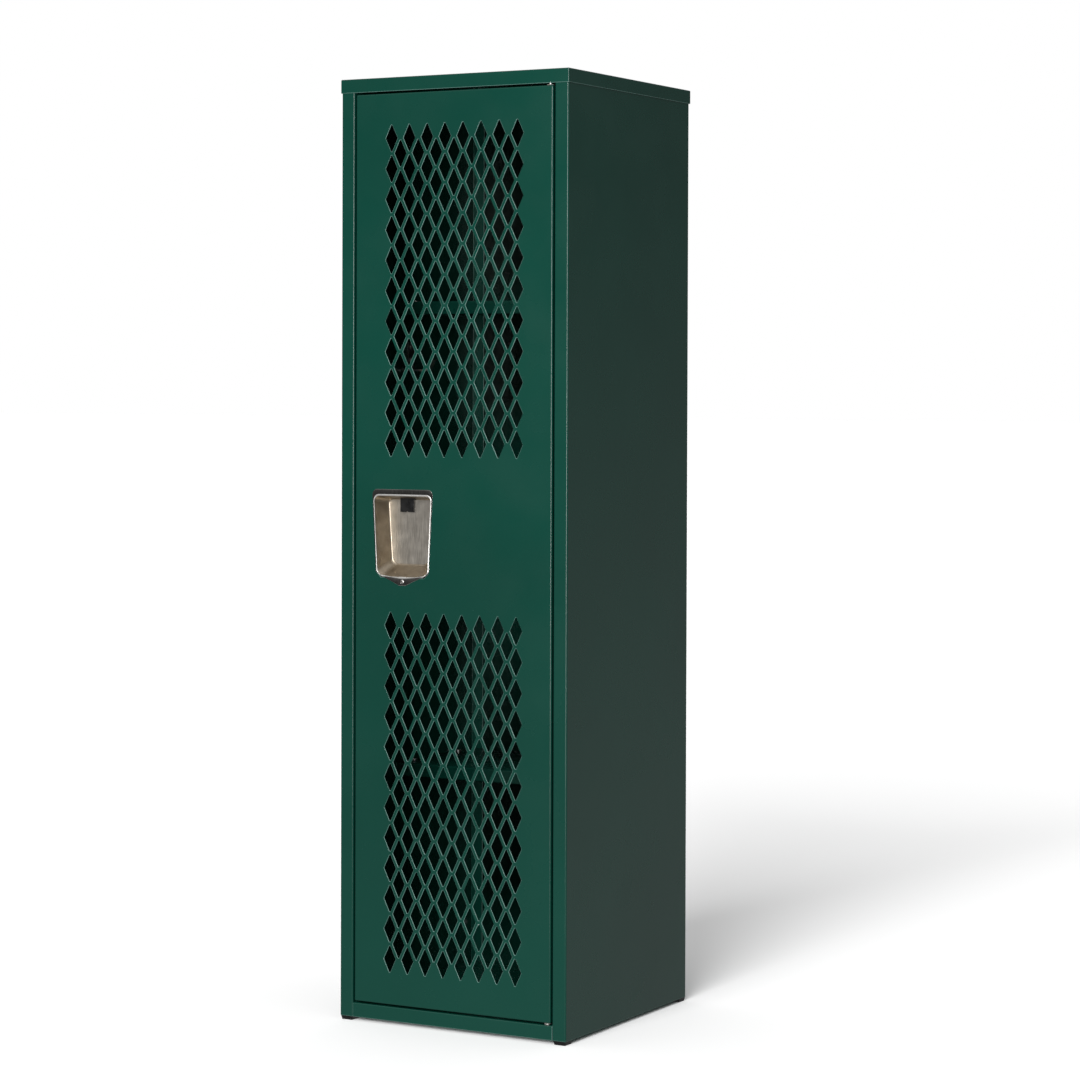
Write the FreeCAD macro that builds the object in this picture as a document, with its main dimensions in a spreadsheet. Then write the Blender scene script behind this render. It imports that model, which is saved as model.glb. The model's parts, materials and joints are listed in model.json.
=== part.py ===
"""Single-tier ventilated school locker, as a parametric document, in millimetres.

The frame is +Z up with the origin on the floor under the middle of the locker. The door faces -Y,
its pivots are on the +X side and its gravity lift latch is on the -X side.
"""
import FreeCAD, Part
import math
import os
import re
import Sketcher

DIMENSIONS = [
    ("lid_width", 381.0, "overall width, over the lid (15 in)"),
    ("lid_depth", 381.0, "overall depth, over the lid (15 in)"),
    ("body_height", 1371.6, "bottom of the side panels to the top of the lid (54 in)"),
    ("foot_height", 6.0, "part of each foot that shows under the body"),
    ("foot_size", 20.0, "side of a foot at its top"),
    ("foot_taper", 1.5, "a foot's side slopes in by this much"),
    ("foot_setback", 0.9, "foot's side behind the body's outer face"),
    ("stem_radius", 4.0, "foot's threaded stem"),
    ("stem_length", 16.0, "stem above the underside of the body"),
    ("sheet", 1.2, "cabinet steel, 18 gauge"),
    ("door_sheet", 1.5, "door steel, 16 gauge"),
    ("bend", 2.2, "outside radius of a fold"),
    ("seam", 0.1, "clearance between nested sheets"),
    ("lid_flange", 20.0, "height of the lid's folded edge"),
    ("post_width", 22.0, "face of a front post"),
    ("post_return", 26.0, "depth of a front post's inner fold"),
    ("rear_return", 21.0, "fold at the rear of a side panel"),
    ("rail_height", 20.6, "bottom rail"),
    ("pan_flange", 16.0, "folds at the sides and rear of the floor"),
    ("door_gap", 3.0, "reveal round the door"),
    ("door_depth", 18.0, "thickness of the door over its folds"),
    ("plate", 3.0, "pivot plates, hooks and lock bar"),
    ("head_depth", 24.0, "depth of the frame's head"),
    ("anchor_inset", 13.0, "wall anchor hole from the side of the body"),
    ("anchor_drop", 27.6, "top of the lid to the upper wall anchor holes"),
    ("anchor_spacing_z", 1264.0, "wall anchor holes, top to bottom"),
    ("anchor_radius", 3.5, "wall anchor hole"),
    ("shelf_setback", 151.0, "front of the shelves behind the door's face"),
    ("shelf_lip", 20.0, "folded front edge of a shelf"),
    ("shelf_hem", 9.0, "hem under a shelf's lip"),
    ("shelf_rear", 12.0, "fold at the rear of a shelf"),
    ("shelf_gap", 0.4, "shelf to side panel"),
    ("upper_shelf_drop", 320.5, "top of the lid to the upper shelf"),
    ("lower_shelf_rise", 356.0, "underside of the body to the lower shelf"),
    ("support_leg", 16.0, "legs of a shelf support"),
    ("support_length", 190.0, "length of a shelf support"),
    ("screw_radius", 2.5, "M5 screws"),
    ("screw_inset", 30.0, "shelf screw from the end of its support"),
    ("diamond_pitch_x", 30.0, "perforation, side to side"),
    ("diamond_pitch_z", 44.2, "perforation, top to bottom"),
    ("diamond_width", 20.4, "one opening"),
    ("diamond_height", 38.6, "one opening"),
    ("diamond_tip", 1.8, "flat at the tip of an opening"),
    ("grille_side", 45.0, "least solid steel beside a grille"),
    ("grille_end", 40.0, "least solid steel below a grille"),
    ("grille_shift", 1.5, "middle of the grilles, towards the pivots"),
    ("upper_grille_drop", 88.4, "top of the lid to the middle of the first row"),
    ("lower_grille_gap", 58.2, "point of the handle cup to the middle of the first row"),
    ("pin_radius", 3.0, "pivot pin"),
    ("pin_running", 0.06, "radial clearance of a pivot pin in its bush"),
    ("pin_inset", 7.0, "pivot axis from the door's edge"),
    ("pin_depth", 6.0, "pivot axis behind the door's face"),
    ("pin_engagement", 12.0, "length of pin inside the door"),
    ("pin_head", 4.6, "radius of a pin's head"),
    ("bush_radius", 4.2, "outside of a bush"),
    ("bush_flange", 5.4, "radius of a bush's flange"),
    ("bush_flange_height", 1.0, "thickness of a bush's flange"),
    ("washer_height", 1.6, "thrust washer under the door"),
    ("press_gap", 0.05, "clearance round a part fixed in a hole"),
    ("channel_width", 26.0, "latch channel"),
    ("stiffener_width", 20.0, "hinge side stiffener"),
    ("stiffener_inset", 30.0, "end of the stiffener from the end of the door"),
    ("hook_height", 40.0, "frame hook"),
    ("hook_reach", 22.2, "hook's nose in front of its bridge"),
    ("hook_thickness", 3.0, "frame hook's arm"),
    ("arm_height", 12.0, "under a hook's throat"),
    ("nose_height", 8.0, "nose above a hook's throat"),
    ("top_hook_drop", 180.0, "top of the lid to the underside of the top hook"),
    ("middle_hook_drop", 720.0, "top of the lid to the underside of the middle hook"),
    ("bottom_hook_rise", 191.6, "underside of the body to the underside of the bottom hook"),
    ("silencer_depth", 3.4, "rubber pad between a hook and the door"),
    ("bar_width", 12.0, "lock bar"),
    ("bar_depth", 8.2, "lock bar behind the door's face"),
    ("bar_left", 9.7, "door's edge to the lock bar"),
    ("tab_height", 6.0, "lock bar's tab"),
    ("bar_clearance", 0.4, "lock bar in its guides and over its hooks"),
    ("lift_travel", 10.0, "travel of the latch"),
    ("guide_height", 18.0, "bar guide"),
    ("cup_centre", -83.5, "middle of the handle cup from the middle of the door"),
    ("cup_drop", 597.3, "top of the lid to the top of the cup's flange"),
    ("cup_height", 139.7, "cup's flange, top to point"),
    ("cup_point", 18.4, "height of the pointed foot of the flange"),
    ("cup_top_width", 104.0, "cup's flange at its top"),
    ("cup_bottom_width", 91.0, "cup's flange above its point"),
    ("cup_point_width", 11.0, "blunt end of the point"),
    ("cup_band", 10.0, "flange above the recess"),
    ("cup_side_band", 3.0, "flange beside the recess"),
    ("cup_foot_band", 12.9, "flange from its point to the recess"),
    ("cup_depth", 25.0, "recess, over its metal"),
    ("cup_side_draft", 10.0, "slope of the sides of the recess"),
    ("cup_top_draft", 4.0, "slope of the top of the recess"),
    ("cup_rise", 16.0, "slope of the bottom of the recess"),
    ("cup_sheet", 1.0, "stainless steel"),
    ("cup_top_corner", 8.0, "radius of the recess's upper corners"),
    ("cup_low_corner", 13.0, "radius of the recess's lower corners"),
    ("cup_screw_rise", 5.8, "cup's screw above the point of the flange"),
    ("cup_screw_radius", 3.2, "head of the cup's screw"),
    ("lift_width", 23.0, "finger lift"),
    ("lift_shift", -4.6, "finger lift from the middle of the cup"),
    ("lift_thickness", 3.4, "finger lift's blade"),
    ("lift_depth", 20.0, "front of the finger lift behind the door's face"),
    ("lift_drop", 33.5, "top of the cup's flange to the end of the finger lift"),
    ("lift_slot_gap", 1.0, "finger lift in the cup's slot"),
    ("bracket_height", 16.0, "lift bracket"),
    ("bracket_raise", 7.0, "lift bracket above the cup's flange"),
    ("bracket_sheet", 2.0, "lift bracket"),
    ("rivet_radius", 2.0, "rivets of the lift bracket"),
    ("coat_hook_width", 16.0, "coat hook"),
    ("coat_hook_drop", 60.0, "upper shelf to the top of a coat hook"),
    ("coat_hook_height", 44.0, "coat hook"),
    ("coat_hook_reach", 34.0, "coat hook's prong"),
    ("coat_hook_sheet", 2.5, "coat hook"),
]

doc = FreeCAD.newDocument("Locker")
dims = doc.addObject("Spreadsheet::Sheet", "Dims")
for row, (alias, number, note) in enumerate(DIMENSIONS, start=1):
    dims.set(f"A{row}", alias)
    dims.set(f"B{row}", str(number))
    dims.setAlias(f"B{row}", alias)
    dims.set(f"C{row}", note)
doc.recompute()

ALIAS = re.compile(r"\b(" + "|".join(alias for alias, _, _ in DIMENSIONS) + r")\b")

# Places that several pieces share, as expressions of the driving dimensions.
HALF_WIDTH = "(lid_width / 2 - sheet - seam)"
HALF_DEPTH = "(lid_depth / 2 - sheet - seam)"
FLOOR_Z = "foot_height"
LID_TOP = "(foot_height + body_height)"
LID_UNDER = f"({LID_TOP} - sheet)"
PAN_TOP = f"({FLOOR_Z} + rail_height)"
HEAD_UNDER = f"({LID_TOP} - lid_flange)"
POST_INNER = f"({HALF_WIDTH} - post_width)"
SIDE_INNER = f"({HALF_WIDTH} - sheet)"
REAR_FACE = f"({HALF_DEPTH} - sheet)"
DOOR_EDGE = f"({POST_INNER} - door_gap)"
DOOR_INNER = f"({DOOR_EDGE} - door_sheet)"
DOOR_TOP = f"({HEAD_UNDER} - door_gap)"
DOOR_BOTTOM = f"({PAN_TOP} + door_gap)"
PIN_X = f"({DOOR_EDGE} - pin_inset)"
CHANNEL_RIGHT = f"(-{DOOR_INNER} + channel_width)"
CUP_TOP = f"({LID_TOP} - cup_drop)"
BAR_LEFT = f"(-{DOOR_EDGE} + bar_left)"
BAR_RIGHT = f"({BAR_LEFT} + bar_width)"
BRIDGE_DEPTH = "(door_depth + 0.3 + silencer_depth)"
BRIDGE_REAR = f"({BRIDGE_DEPTH} + plate + 1)"
HOOK_RIGHT = f"({BAR_LEFT} - 2.5)"
BRACKET_BOTTOM = f"({CUP_TOP} + bracket_raise)"
BRACKET_TOP = f"({BRACKET_BOTTOM} + bracket_height)"
BRACKET_DEPTH = "(bar_depth + plate)"
LIFT_X = "(cup_centre + lift_shift)"
LIFT_BOTTOM = f"({CUP_TOP} - lift_drop)"
HOOKS = {
    "top": f"({LID_TOP} - top_hook_drop)",
    "middle": f"({LID_TOP} - middle_hook_drop)",
    "bottom": f"({FLOOR_Z} + bottom_hook_rise)",
}
SHELVES = {
    "upper": f"({LID_TOP} - upper_shelf_drop)",
    "lower": f"({FLOOR_Z} + lower_shelf_rise)",
}
SIDES = {"left": "-1", "right": "1"}


def bound(expression):
    """The expression with each dimension's name pointing at its cell."""
    return ALIAS.sub(r"Dims.\1", str(expression))


def value(expression):
    return float(dims.evalExpression(bound(expression)))


def back(depth):
    """Y of something that lies a given depth behind the door's face."""
    return f"(-{HALF_DEPTH} + {depth})"


# ---------------------------------------------------------------- sketches and features

def new_body(label):
    body = doc.addObject("PartDesign::Body", label)
    body.Label = label
    return body


def rectangle(low_u, high_u, low_v, high_v):
    return [(low_u, low_v), (high_u, low_v), (high_u, high_v), (low_u, high_v)]


def add_polygon(sketch, points):
    """A closed outline whose every corner is held at its two expressions."""
    corners = [FreeCAD.Vector(value(u), value(v), 0) for u, v in points]
    first = sketch.GeometryCount
    count = len(points)
    for number, corner in enumerate(corners):
        sketch.addGeometry(Part.LineSegment(corner, corners[(number + 1) % count]))
    for number in range(count):
        following = first + (number + 1) % count
        sketch.addConstraint(Sketcher.Constraint("Coincident", first + number, 2, following, 1))
    for number, (u, v) in enumerate(points):
        for kind, expression in (("DistanceX", u), ("DistanceY", v)):
            held = Sketcher.Constraint(kind, -1, 1, first + number, 1, value(expression))
            sketch.setExpression(f"Constraints[{sketch.addConstraint(held)}]", bound(expression))


def add_circle(sketch, u, v, radius):
    middle = FreeCAD.Vector(value(u), value(v), 0)
    ring = sketch.addGeometry(Part.Circle(middle, FreeCAD.Vector(0, 0, 1), value(radius)))
    held = [
        (Sketcher.Constraint("DistanceX", -1, 1, ring, 3, value(u)), u),
        (Sketcher.Constraint("DistanceY", -1, 1, ring, 3, value(v)), v),
        (Sketcher.Constraint("Radius", ring, value(radius)), radius),
    ]
    for constraint, expression in held:
        sketch.setExpression(f"Constraints[{sketch.addConstraint(constraint)}]", bound(expression))


def new_sketch(body, plane, place, polygons=(), circles=()):
    """A sketch on one of the body's origin planes, moved along that plane's normal.

    Its u and v are X and Y on XY, X and Z on XZ (normal -Y), and Y and Z on YZ (normal +X).
    """
    sketch = body.newObject("Sketcher::SketchObject", f"{body.Label}_sketch")
    support = next(item for item in body.Origin.OriginFeatures if item.Role == f"{plane}_Plane")
    sketch.AttachmentSupport = (support, [""])
    sketch.MapMode = "FlatFace"
    sketch.setExpression("AttachmentOffset.Base.z", bound(place))
    for points in polygons:
        add_polygon(sketch, points)
    for u, v, radius in circles:
        add_circle(sketch, u, v, radius)
    return sketch


def pad(body, sketch, length):
    """Adds material along the sketch's normal."""
    feature = body.newObject("PartDesign::Pad", f"{body.Label}_pad")
    feature.Profile = sketch
    feature.setExpression("Length", bound(length))
    doc.recompute()
    return feature


def pocket(body, sketch, length, along_normal=False):
    """Removes material against the sketch's normal, or along it, and checks that some went."""
    before = body.Shape.Volume
    feature = body.newObject("PartDesign::Pocket", f"{body.Label}_pocket")
    feature.Profile = sketch
    feature.setExpression("Length", bound(length))
    feature.Reversed = along_normal
    doc.recompute()
    if body.Shape.Volume >= before:
        raise RuntimeError(f"{feature.Label} removes nothing")
    return feature


def round_edges(body, radius, places):
    """Rounds the straight edges at the given places: each holds two or three of x, y and z."""
    shape = body.Shape
    wanted = [{axis: value(place[axis]) for axis in place} for place in places]
    names = []
    for number, edge in enumerate(shape.Edges, start=1):
        ends = [vertex.Point for vertex in edge.Vertexes]
        for place in wanted:
            near = [abs(getattr(end, axis) - place[axis]) < 1e-4 for end in ends for axis in place]
            if len(ends) == 2 and all(near):
                names.append(f"Edge{number}")
                break
    if not names:
        raise RuntimeError(f"{body.Label} has no edge to round")
    base = body.Tip
    fillet = body.newObject("PartDesign::Fillet", f"{body.Label}_fillet")
    fillet.Base = (base, names)
    fillet.setExpression("Radius", bound(radius))
    body.Tip = fillet
    doc.recompute()
    if "Invalid" in fillet.State:
        raise RuntimeError(f"{fillet.Label} fails")


def prism(label, plane, place, polygon, length, circles=()):
    """A body of one padded outline, with round holes where circles are given."""
    body = new_body(label)
    pad(body, new_sketch(body, plane, place, [polygon], circles), length)
    return body


# ---------------------------------------------------------------- primitives and booleans

def box(label, low, high):
    """A Part::Box from its lowest corner to its highest, both as expressions."""
    item = doc.addObject("Part::Box", label)
    item.Label = label
    for size, axis, start, end in zip(("Length", "Width", "Height"), "xyz", low, high):
        item.setExpression(size, bound(f"({end}) - ({start})"))
        item.setExpression(f"Placement.Base.{axis}", bound(start))
    return item


def rod(label, x, y, low, high, radius):
    """An upright Part::Cylinder."""
    item = doc.addObject("Part::Cylinder", label)
    item.Label = label
    item.setExpression("Radius", bound(radius))
    item.setExpression("Height", bound(f"({high}) - ({low})"))
    for axis, expression in zip("xyz", (x, y, low)):
        item.setExpression(f"Placement.Base.{axis}", bound(expression))
    return item


def lying_rod(label, toward, x, y, z, length, radius):
    """A Part::Cylinder that starts at a point and runs along an axis: +x, -x, +y or -y."""
    turn = {"+x": (0, 1, 0, 90), "-x": (0, 1, 0, -90), "+y": (1, 0, 0, -90), "-y": (1, 0, 0, 90)}
    axis_x, axis_y, axis_z, angle = turn[toward]
    item = doc.addObject("Part::Cylinder", label)
    item.Label = label
    axis = FreeCAD.Vector(axis_x, axis_y, axis_z)
    item.Placement = FreeCAD.Placement(FreeCAD.Vector(), FreeCAD.Rotation(axis, angle))
    item.setExpression("Radius", bound(radius))
    item.setExpression("Height", bound(length))
    for name, expression in zip("xyz", (x, y, z)):
        item.setExpression(f"Placement.Base.{name}", bound(expression))
    return item


def fuse(label, items):
    item = doc.addObject("Part::MultiFuse", label)
    item.Label = label
    item.Shapes = items
    return item


def cut(label, base, tool):
    item = doc.addObject("Part::Cut", label)
    item.Label = label
    item.Base = base
    item.Tool = tool
    return item


def group(label, items):
    """Identical loose pieces that share a node as separate solids."""
    item = doc.addObject("Part::Compound", label)
    item.Label = label
    item.Links = items
    return item


# ---------------------------------------------------------------- cabinet

def side_panel(side):
    """One sheet folded into the front post, the side and the rear return."""
    sign = SIDES[side]
    front = back("0")
    inner_end = back("post_return")
    section = [
        (POST_INNER, inner_end),
        (POST_INNER, front),
        (HALF_WIDTH, front),
        (HALF_WIDTH, REAR_FACE),
        (f"({HALF_WIDTH} - rear_return)", REAR_FACE),
        (f"({HALF_WIDTH} - rear_return)", f"({REAR_FACE} - sheet)"),
        (SIDE_INNER, f"({REAR_FACE} - sheet)"),
        (SIDE_INNER, back("sheet")),
        (f"({POST_INNER} + sheet)", back("sheet")),
        (f"({POST_INNER} + sheet)", inner_end),
    ]
    section = [(f"{sign} * {x}", y) for x, y in section]
    body = prism(f"side_panel_{side}", "XY", FLOOR_Z, section, f"{LID_UNDER} - {FLOOR_Z}")
    outer = [section[1], section[2], section[3]]
    inner = [section[6], section[7], section[8]]
    round_edges(body, "bend", [{"x": x, "y": y} for x, y in outer])
    round_edges(body, "bend - sheet", [{"x": x, "y": y} for x, y in inner])
    holes = new_sketch(body, "XZ", f"-{REAR_FACE}", circles=anchor_holes([sign]))
    pocket(body, holes, "sheet", True)
    return body


def anchor_holes(signs):
    """Wall anchor holes, which pass through the back panel and the rear returns."""
    upper = f"({LID_TOP} - anchor_drop)"
    heights = (upper, f"({upper} - anchor_spacing_z)")
    edge = f"({HALF_WIDTH} - anchor_inset)"
    return [(f"{sign} * {edge}", z, "anchor_radius") for sign in signs for z in heights]


def back_panel():
    """A flat sheet behind the rear returns."""
    edge = f"({HALF_WIDTH} - bend)"
    outline = rectangle(f"-{edge}", edge, FLOOR_Z, LID_UNDER)
    holes = anchor_holes(SIDES.values())
    return prism("back_panel", "XZ", f"-{HALF_DEPTH}", outline, "sheet", holes)


def top_lid():
    """A cap with four folded edges that covers the tops of the panels."""
    half_x = "lid_width / 2"
    half_y = "lid_depth / 2"
    outline = rectangle(f"-{half_x}", half_x, f"-{half_y}", half_y)
    body = prism("top_lid", "XY", HEAD_UNDER, outline, "lid_flange")
    room_x = f"({half_x} - sheet)"
    room_y = f"({half_y} - sheet)"
    room = rectangle(f"-{room_x}", room_x, f"-{room_y}", room_y)
    pocket(body, new_sketch(body, "XY", HEAD_UNDER, [room]), "lid_flange - sheet", True)
    corners = [{"x": x, "y": y} for x in (f"-{half_x}", half_x) for y in (f"-{half_y}", half_y)]
    long_edges = [{"x": x, "z": LID_TOP} for x in (f"-{half_x}", half_x)]
    wide_edges = [{"y": y, "z": LID_TOP} for y in (f"-{half_y}", half_y)]
    round_edges(body, "bend * 0.7", corners + long_edges + wide_edges)
    return body


def head_rail():
    """The angle behind the lid's front edge that closes the frame and carries the top pivot."""
    section = [
        (back("0"), HEAD_UNDER),
        (back("head_depth"), HEAD_UNDER),
        (back("head_depth"), f"{HEAD_UNDER} + sheet"),
        (back("sheet"), f"{HEAD_UNDER} + sheet"),
        (back("sheet"), LID_UNDER),
        (back("0"), LID_UNDER),
    ]
    body = prism("head_rail", "YZ", f"-{POST_INNER}", section, f"2 * {POST_INNER}")
    hole = [(PIN_X, back("pin_depth"), "pin_radius + press_gap")]
    pocket(body, new_sketch(body, "XY", f"{HEAD_UNDER} + sheet", circles=hole), "sheet")
    return body


def bottom_pan():
    """The locker's floor; its front fold is the bottom rail between the posts."""
    notch = back("post_return + seam")
    rear = f"({REAR_FACE} - sheet)"
    plan = [
        (f"-{POST_INNER}", back("0")),
        (POST_INNER, back("0")),
        (POST_INNER, notch),
        (SIDE_INNER, notch),
        (SIDE_INNER, rear),
        (f"-{SIDE_INNER}", rear),
        (f"-{SIDE_INNER}", notch),
        (f"-{POST_INNER}", notch),
    ]
    body = prism("bottom_pan", "XY", f"{PAN_TOP} - sheet", plan, "sheet")
    front_fold = rectangle(f"-{POST_INNER}", POST_INNER, back("0"), back("sheet"))
    pad(body, new_sketch(body, "XY", FLOOR_Z, [front_fold]), "rail_height - sheet")
    inner = f"({SIDE_INNER} - sheet)"
    folds = [
        rectangle(f"-{SIDE_INNER}", f"-{inner}", notch, rear),
        rectangle(inner, SIDE_INNER, notch, rear),
        rectangle(f"-{inner}", inner, f"{rear} - sheet", rear),
    ]
    for fold in folds:
        lowest = f"{PAN_TOP} - pan_flange"
        pad(body, new_sketch(body, "XY", lowest, [fold]), "pan_flange - sheet")
    hole = [(PIN_X, back("pin_depth"), "pin_radius + press_gap")]
    pocket(body, new_sketch(body, "XY", PAN_TOP, circles=hole), "sheet")
    round_edges(body, "bend", [{"y": back("0"), "z": PAN_TOP}])
    return body


def shelf(name):
    """A shelf with a hemmed front lip and a fold at its rear."""
    top = SHELVES[name]
    front = back("shelf_setback")
    rear = f"({REAR_FACE} - sheet - shelf_gap)"
    section = [
        (front, top),
        (front, f"{top} - shelf_lip"),
        (f"{front} + shelf_hem", f"{top} - shelf_lip"),
        (f"{front} + shelf_hem", f"{top} - shelf_lip + sheet"),
        (f"{front} + sheet", f"{top} - shelf_lip + sheet"),
        (f"{front} + sheet", f"{top} - sheet"),
        (f"{rear} - sheet", f"{top} - sheet"),
        (f"{rear} - sheet", f"{top} - shelf_rear"),
        (rear, f"{top} - shelf_rear"),
        (rear, top),
    ]
    half = f"({SIDE_INNER} - shelf_gap)"
    body = prism(f"shelf_{name}", "YZ", f"-{half}", section, f"2 * {half}")
    holes = [
        (f"{side} * ({SIDE_INNER} - support_leg / 2 - sheet / 2)", y, "screw_radius + press_gap")
        for side in SIDES.values()
        for y in support_screws()
    ]
    pocket(body, new_sketch(body, "XY", top, circles=holes), "sheet")
    folds = [{"y": front, "z": top}, {"y": front, "z": f"{top} - shelf_lip"}]
    round_edges(body, "bend", folds + [{"y": rear, "z": top}])
    return body


def support_start():
    return back("shelf_setback + shelf_hem + 1")


def support_screws():
    start = support_start()
    return [f"{start} + screw_inset", f"{start} + support_length - screw_inset"]


def shelf_support(name, side):
    """An angle welded to the side panel; the shelf lies on it."""
    sign = SIDES[side]
    top = f"({SHELVES[name]} - sheet)"
    section = [
        (SIDE_INNER, top),
        (f"({SIDE_INNER} - support_leg)", top),
        (f"({SIDE_INNER} - support_leg)", f"{top} - sheet"),
        (f"({SIDE_INNER} - sheet)", f"{top} - sheet"),
        (f"({SIDE_INNER} - sheet)", f"{top} - support_leg"),
        (SIDE_INNER, f"{top} - support_leg"),
    ]
    section = [(f"{sign} * {x}", z) for x, z in section]
    rear = f"({support_start()} + support_length)"
    body = prism(f"shelf_support_{name}_{side}", "XZ", f"-{rear}", section, "support_length")
    x = f"{sign} * ({SIDE_INNER} - support_leg / 2 - sheet / 2)"
    holes = [(x, y, "screw_radius + press_gap") for y in support_screws()]
    pocket(body, new_sketch(body, "XY", top, circles=holes), "sheet")
    return body


def shelf_screws():
    """Eight pan-head screws, with their nuts, that hold the shelves to their supports."""
    screws = []
    for top in SHELVES.values():
        for sign in SIDES.values():
            x = f"{sign} * ({SIDE_INNER} - support_leg / 2 - sheet / 2)"
            for y in support_screws():
                shank = rod("screw_shank", x, y, f"{top} - 2 * sheet - 5", top, "screw_radius")
                head = rod("screw_head", x, y, top, f"{top} + 2.4", "screw_radius * 1.85")
                under = f"{top} - 2 * sheet"
                nut = rod("screw_nut", x, y, f"{under} - 3.2", under, "screw_radius * 1.7")
                screws.append(fuse("shelf_screw", [shank, head, nut]))
    return group("shelf_screws", screws)


def foot_centre(side, end):
    inset = "(foot_setback + foot_size / 2)"
    x = f"{SIDES[side]} * ({HALF_WIDTH} - {inset})"
    y = back(inset) if end == "front" else f"({HALF_DEPTH} - {inset})"
    return x, y


def foot(side, end):
    """A square glide with sloping sides and a threaded stem."""
    x, y = foot_centre(side, end)
    body = new_body(f"foot_{end}_{side}")

    def square(half):
        return rectangle(f"{x} - {half}", f"{x} + {half}", f"{y} - {half}", f"{y} + {half}")

    lower = new_sketch(body, "XY", "0", [square("(foot_size / 2 - foot_taper)")])
    upper = new_sketch(body, "XY", FLOOR_Z, [square("(foot_size / 2)")])
    glide = body.newObject("PartDesign::AdditiveLoft", f"{body.Label}_loft")
    glide.Profile = lower
    glide.Sections = [upper]
    doc.recompute()
    stem = new_sketch(body, "XY", FLOOR_Z, circles=[(x, y, "stem_radius")])
    pad(body, stem, "stem_length")
    return body


def gusset(side, end):
    """A plate across the corner of the body that takes a foot's stem."""
    sign = SIDES[side]
    x, y = foot_centre(side, end)
    inner = f"{sign} * ({POST_INNER} + sheet + seam)"
    outer = f"{sign} * {SIDE_INNER}"
    if end == "front":
        start, stop = back("sheet"), back("post_return - 1")
    else:
        start, stop = f"({REAR_FACE} - sheet - post_return + 1)", f"({REAR_FACE} - sheet)"
    outline = [(inner, start), (outer, start), (outer, stop), (inner, stop)]
    hole = [(x, y, "stem_radius + press_gap")]
    return prism(f"gusset_{end}_{side}", "XY", FLOOR_Z, outline, "2 * sheet", hole)


def foot_nuts():
    """The four hexagon nuts above the gussets."""
    nuts = []
    for side in SIDES:
        for end in ("front", "rear"):
            x, y = foot_centre(side, end)
            blank = doc.addObject("Part::Prism", "nut_blank")
            blank.Polygon = 6
            blank.setExpression("Circumradius", bound("stem_radius * 1.85"))
            blank.setExpression("Height", bound("stem_radius * 1.6"))
            low = f"{FLOOR_Z} + 2 * sheet"
            for axis, expression in zip("xyz", (x, y, low)):
                blank.setExpression(f"Placement.Base.{axis}", bound(expression))
            bore = rod("nut_bore", x, y, f"{low} - 1", f"{low} + 10", "stem_radius + press_gap")
            nuts.append(cut("foot_nut", blank, bore))
    return group("foot_nuts", nuts)


def frame_hook(name):
    """A hook welded behind the latch post; its nose points forwards and up."""
    low = HOOKS[name]
    throat = f"({low} + arm_height)"
    nose_front = f"({BRIDGE_DEPTH} - hook_reach + 4)"
    nose_rear = "(bar_depth - 1)"
    foot_front = "(door_depth + 1)"
    angle = [
        (f"-{POST_INNER}", back(foot_front)),
        (f"-{POST_INNER} + plate", back(foot_front)),
        (f"-{POST_INNER} + plate", back(BRIDGE_DEPTH)),
        (HOOK_RIGHT, back(BRIDGE_DEPTH)),
        (HOOK_RIGHT, back(BRIDGE_REAR)),
        (f"-{POST_INNER}", back(BRIDGE_REAR)),
    ]
    body = prism(f"frame_hook_{name}", "XY", low, angle, "hook_height")
    arm = [
        (back(BRIDGE_DEPTH), low),
        (back(BRIDGE_DEPTH), throat),
        (back(nose_rear), throat),
        (back(nose_rear), f"{throat} + nose_height"),
        (back(f"({nose_rear} - 1.5)"), f"{throat} + nose_height"),
        (back(nose_front), throat),
        (back(nose_front), f"{low} + 5"),
        (back(f"({nose_front} + 4)"), low),
    ]
    pad(body, new_sketch(body, "YZ", f"{HOOK_RIGHT} - hook_thickness", [arm]), "hook_thickness")
    return body


def silencer(name):
    """A rubber pad on a frame hook that the closed door meets."""
    low = f"({HOOKS[name]} + hook_height - 14)"
    right = HOOK_RIGHT
    low_corner = (f"{right} - 7", back(f"({BRIDGE_DEPTH} - silencer_depth)"), low)
    high_corner = (right, back(BRIDGE_DEPTH), f"{low} + 12")
    return box(f"silencer_{name}", low_corner, high_corner)


def pivot_pin(end):
    """A headed pin held by the frame's bracket, through the reveal and into the door."""
    x, y = PIN_X, back("pin_depth")
    if end == "top":
        seat = f"({HEAD_UNDER} + sheet + plate)"
        shank = rod("pin_shank", x, y, f"{DOOR_TOP} - pin_engagement", seat, "pin_radius")
        head = rod("pin_head", x, y, seat, f"{seat} + 2", "pin_head")
    else:
        seat = f"({PAN_TOP} - sheet - plate)"
        shank = rod("pin_shank", x, y, seat, f"{DOOR_BOTTOM} + pin_engagement", "pin_radius")
        head = rod("pin_head", x, y, f"{seat} - 2", seat, "pin_head")
    return fuse(f"pivot_pin_{end}", [shank, head])


def pivot_bracket(end):
    """A thick plate welded to the frame round the pivot pin."""
    low = f"{HEAD_UNDER} + sheet" if end == "top" else f"{PAN_TOP} - sheet - plate"
    outline = rectangle(f"{POST_INNER} - 34", f"{POST_INNER} - seam", back("sheet"), back("20"))
    hole = [(PIN_X, back("pin_depth"), "pin_radius + press_gap")]
    return prism(f"pivot_bracket_{end}", "XY", low, outline, "plate", hole)


def thrust_washer():
    x, y = PIN_X, back("pin_depth")
    disc = rod("washer_disc", x, y, PAN_TOP, f"{PAN_TOP} + washer_height", "bush_flange")
    bore = rod("washer_bore", x, y, f"{PAN_TOP} - 1", f"{PAN_TOP} + 5", "pin_radius + press_gap")
    return cut("thrust_washer", disc, bore)


def coat_hook_top():
    return f"({LID_TOP} - upper_shelf_drop - coat_hook_drop)"


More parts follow.
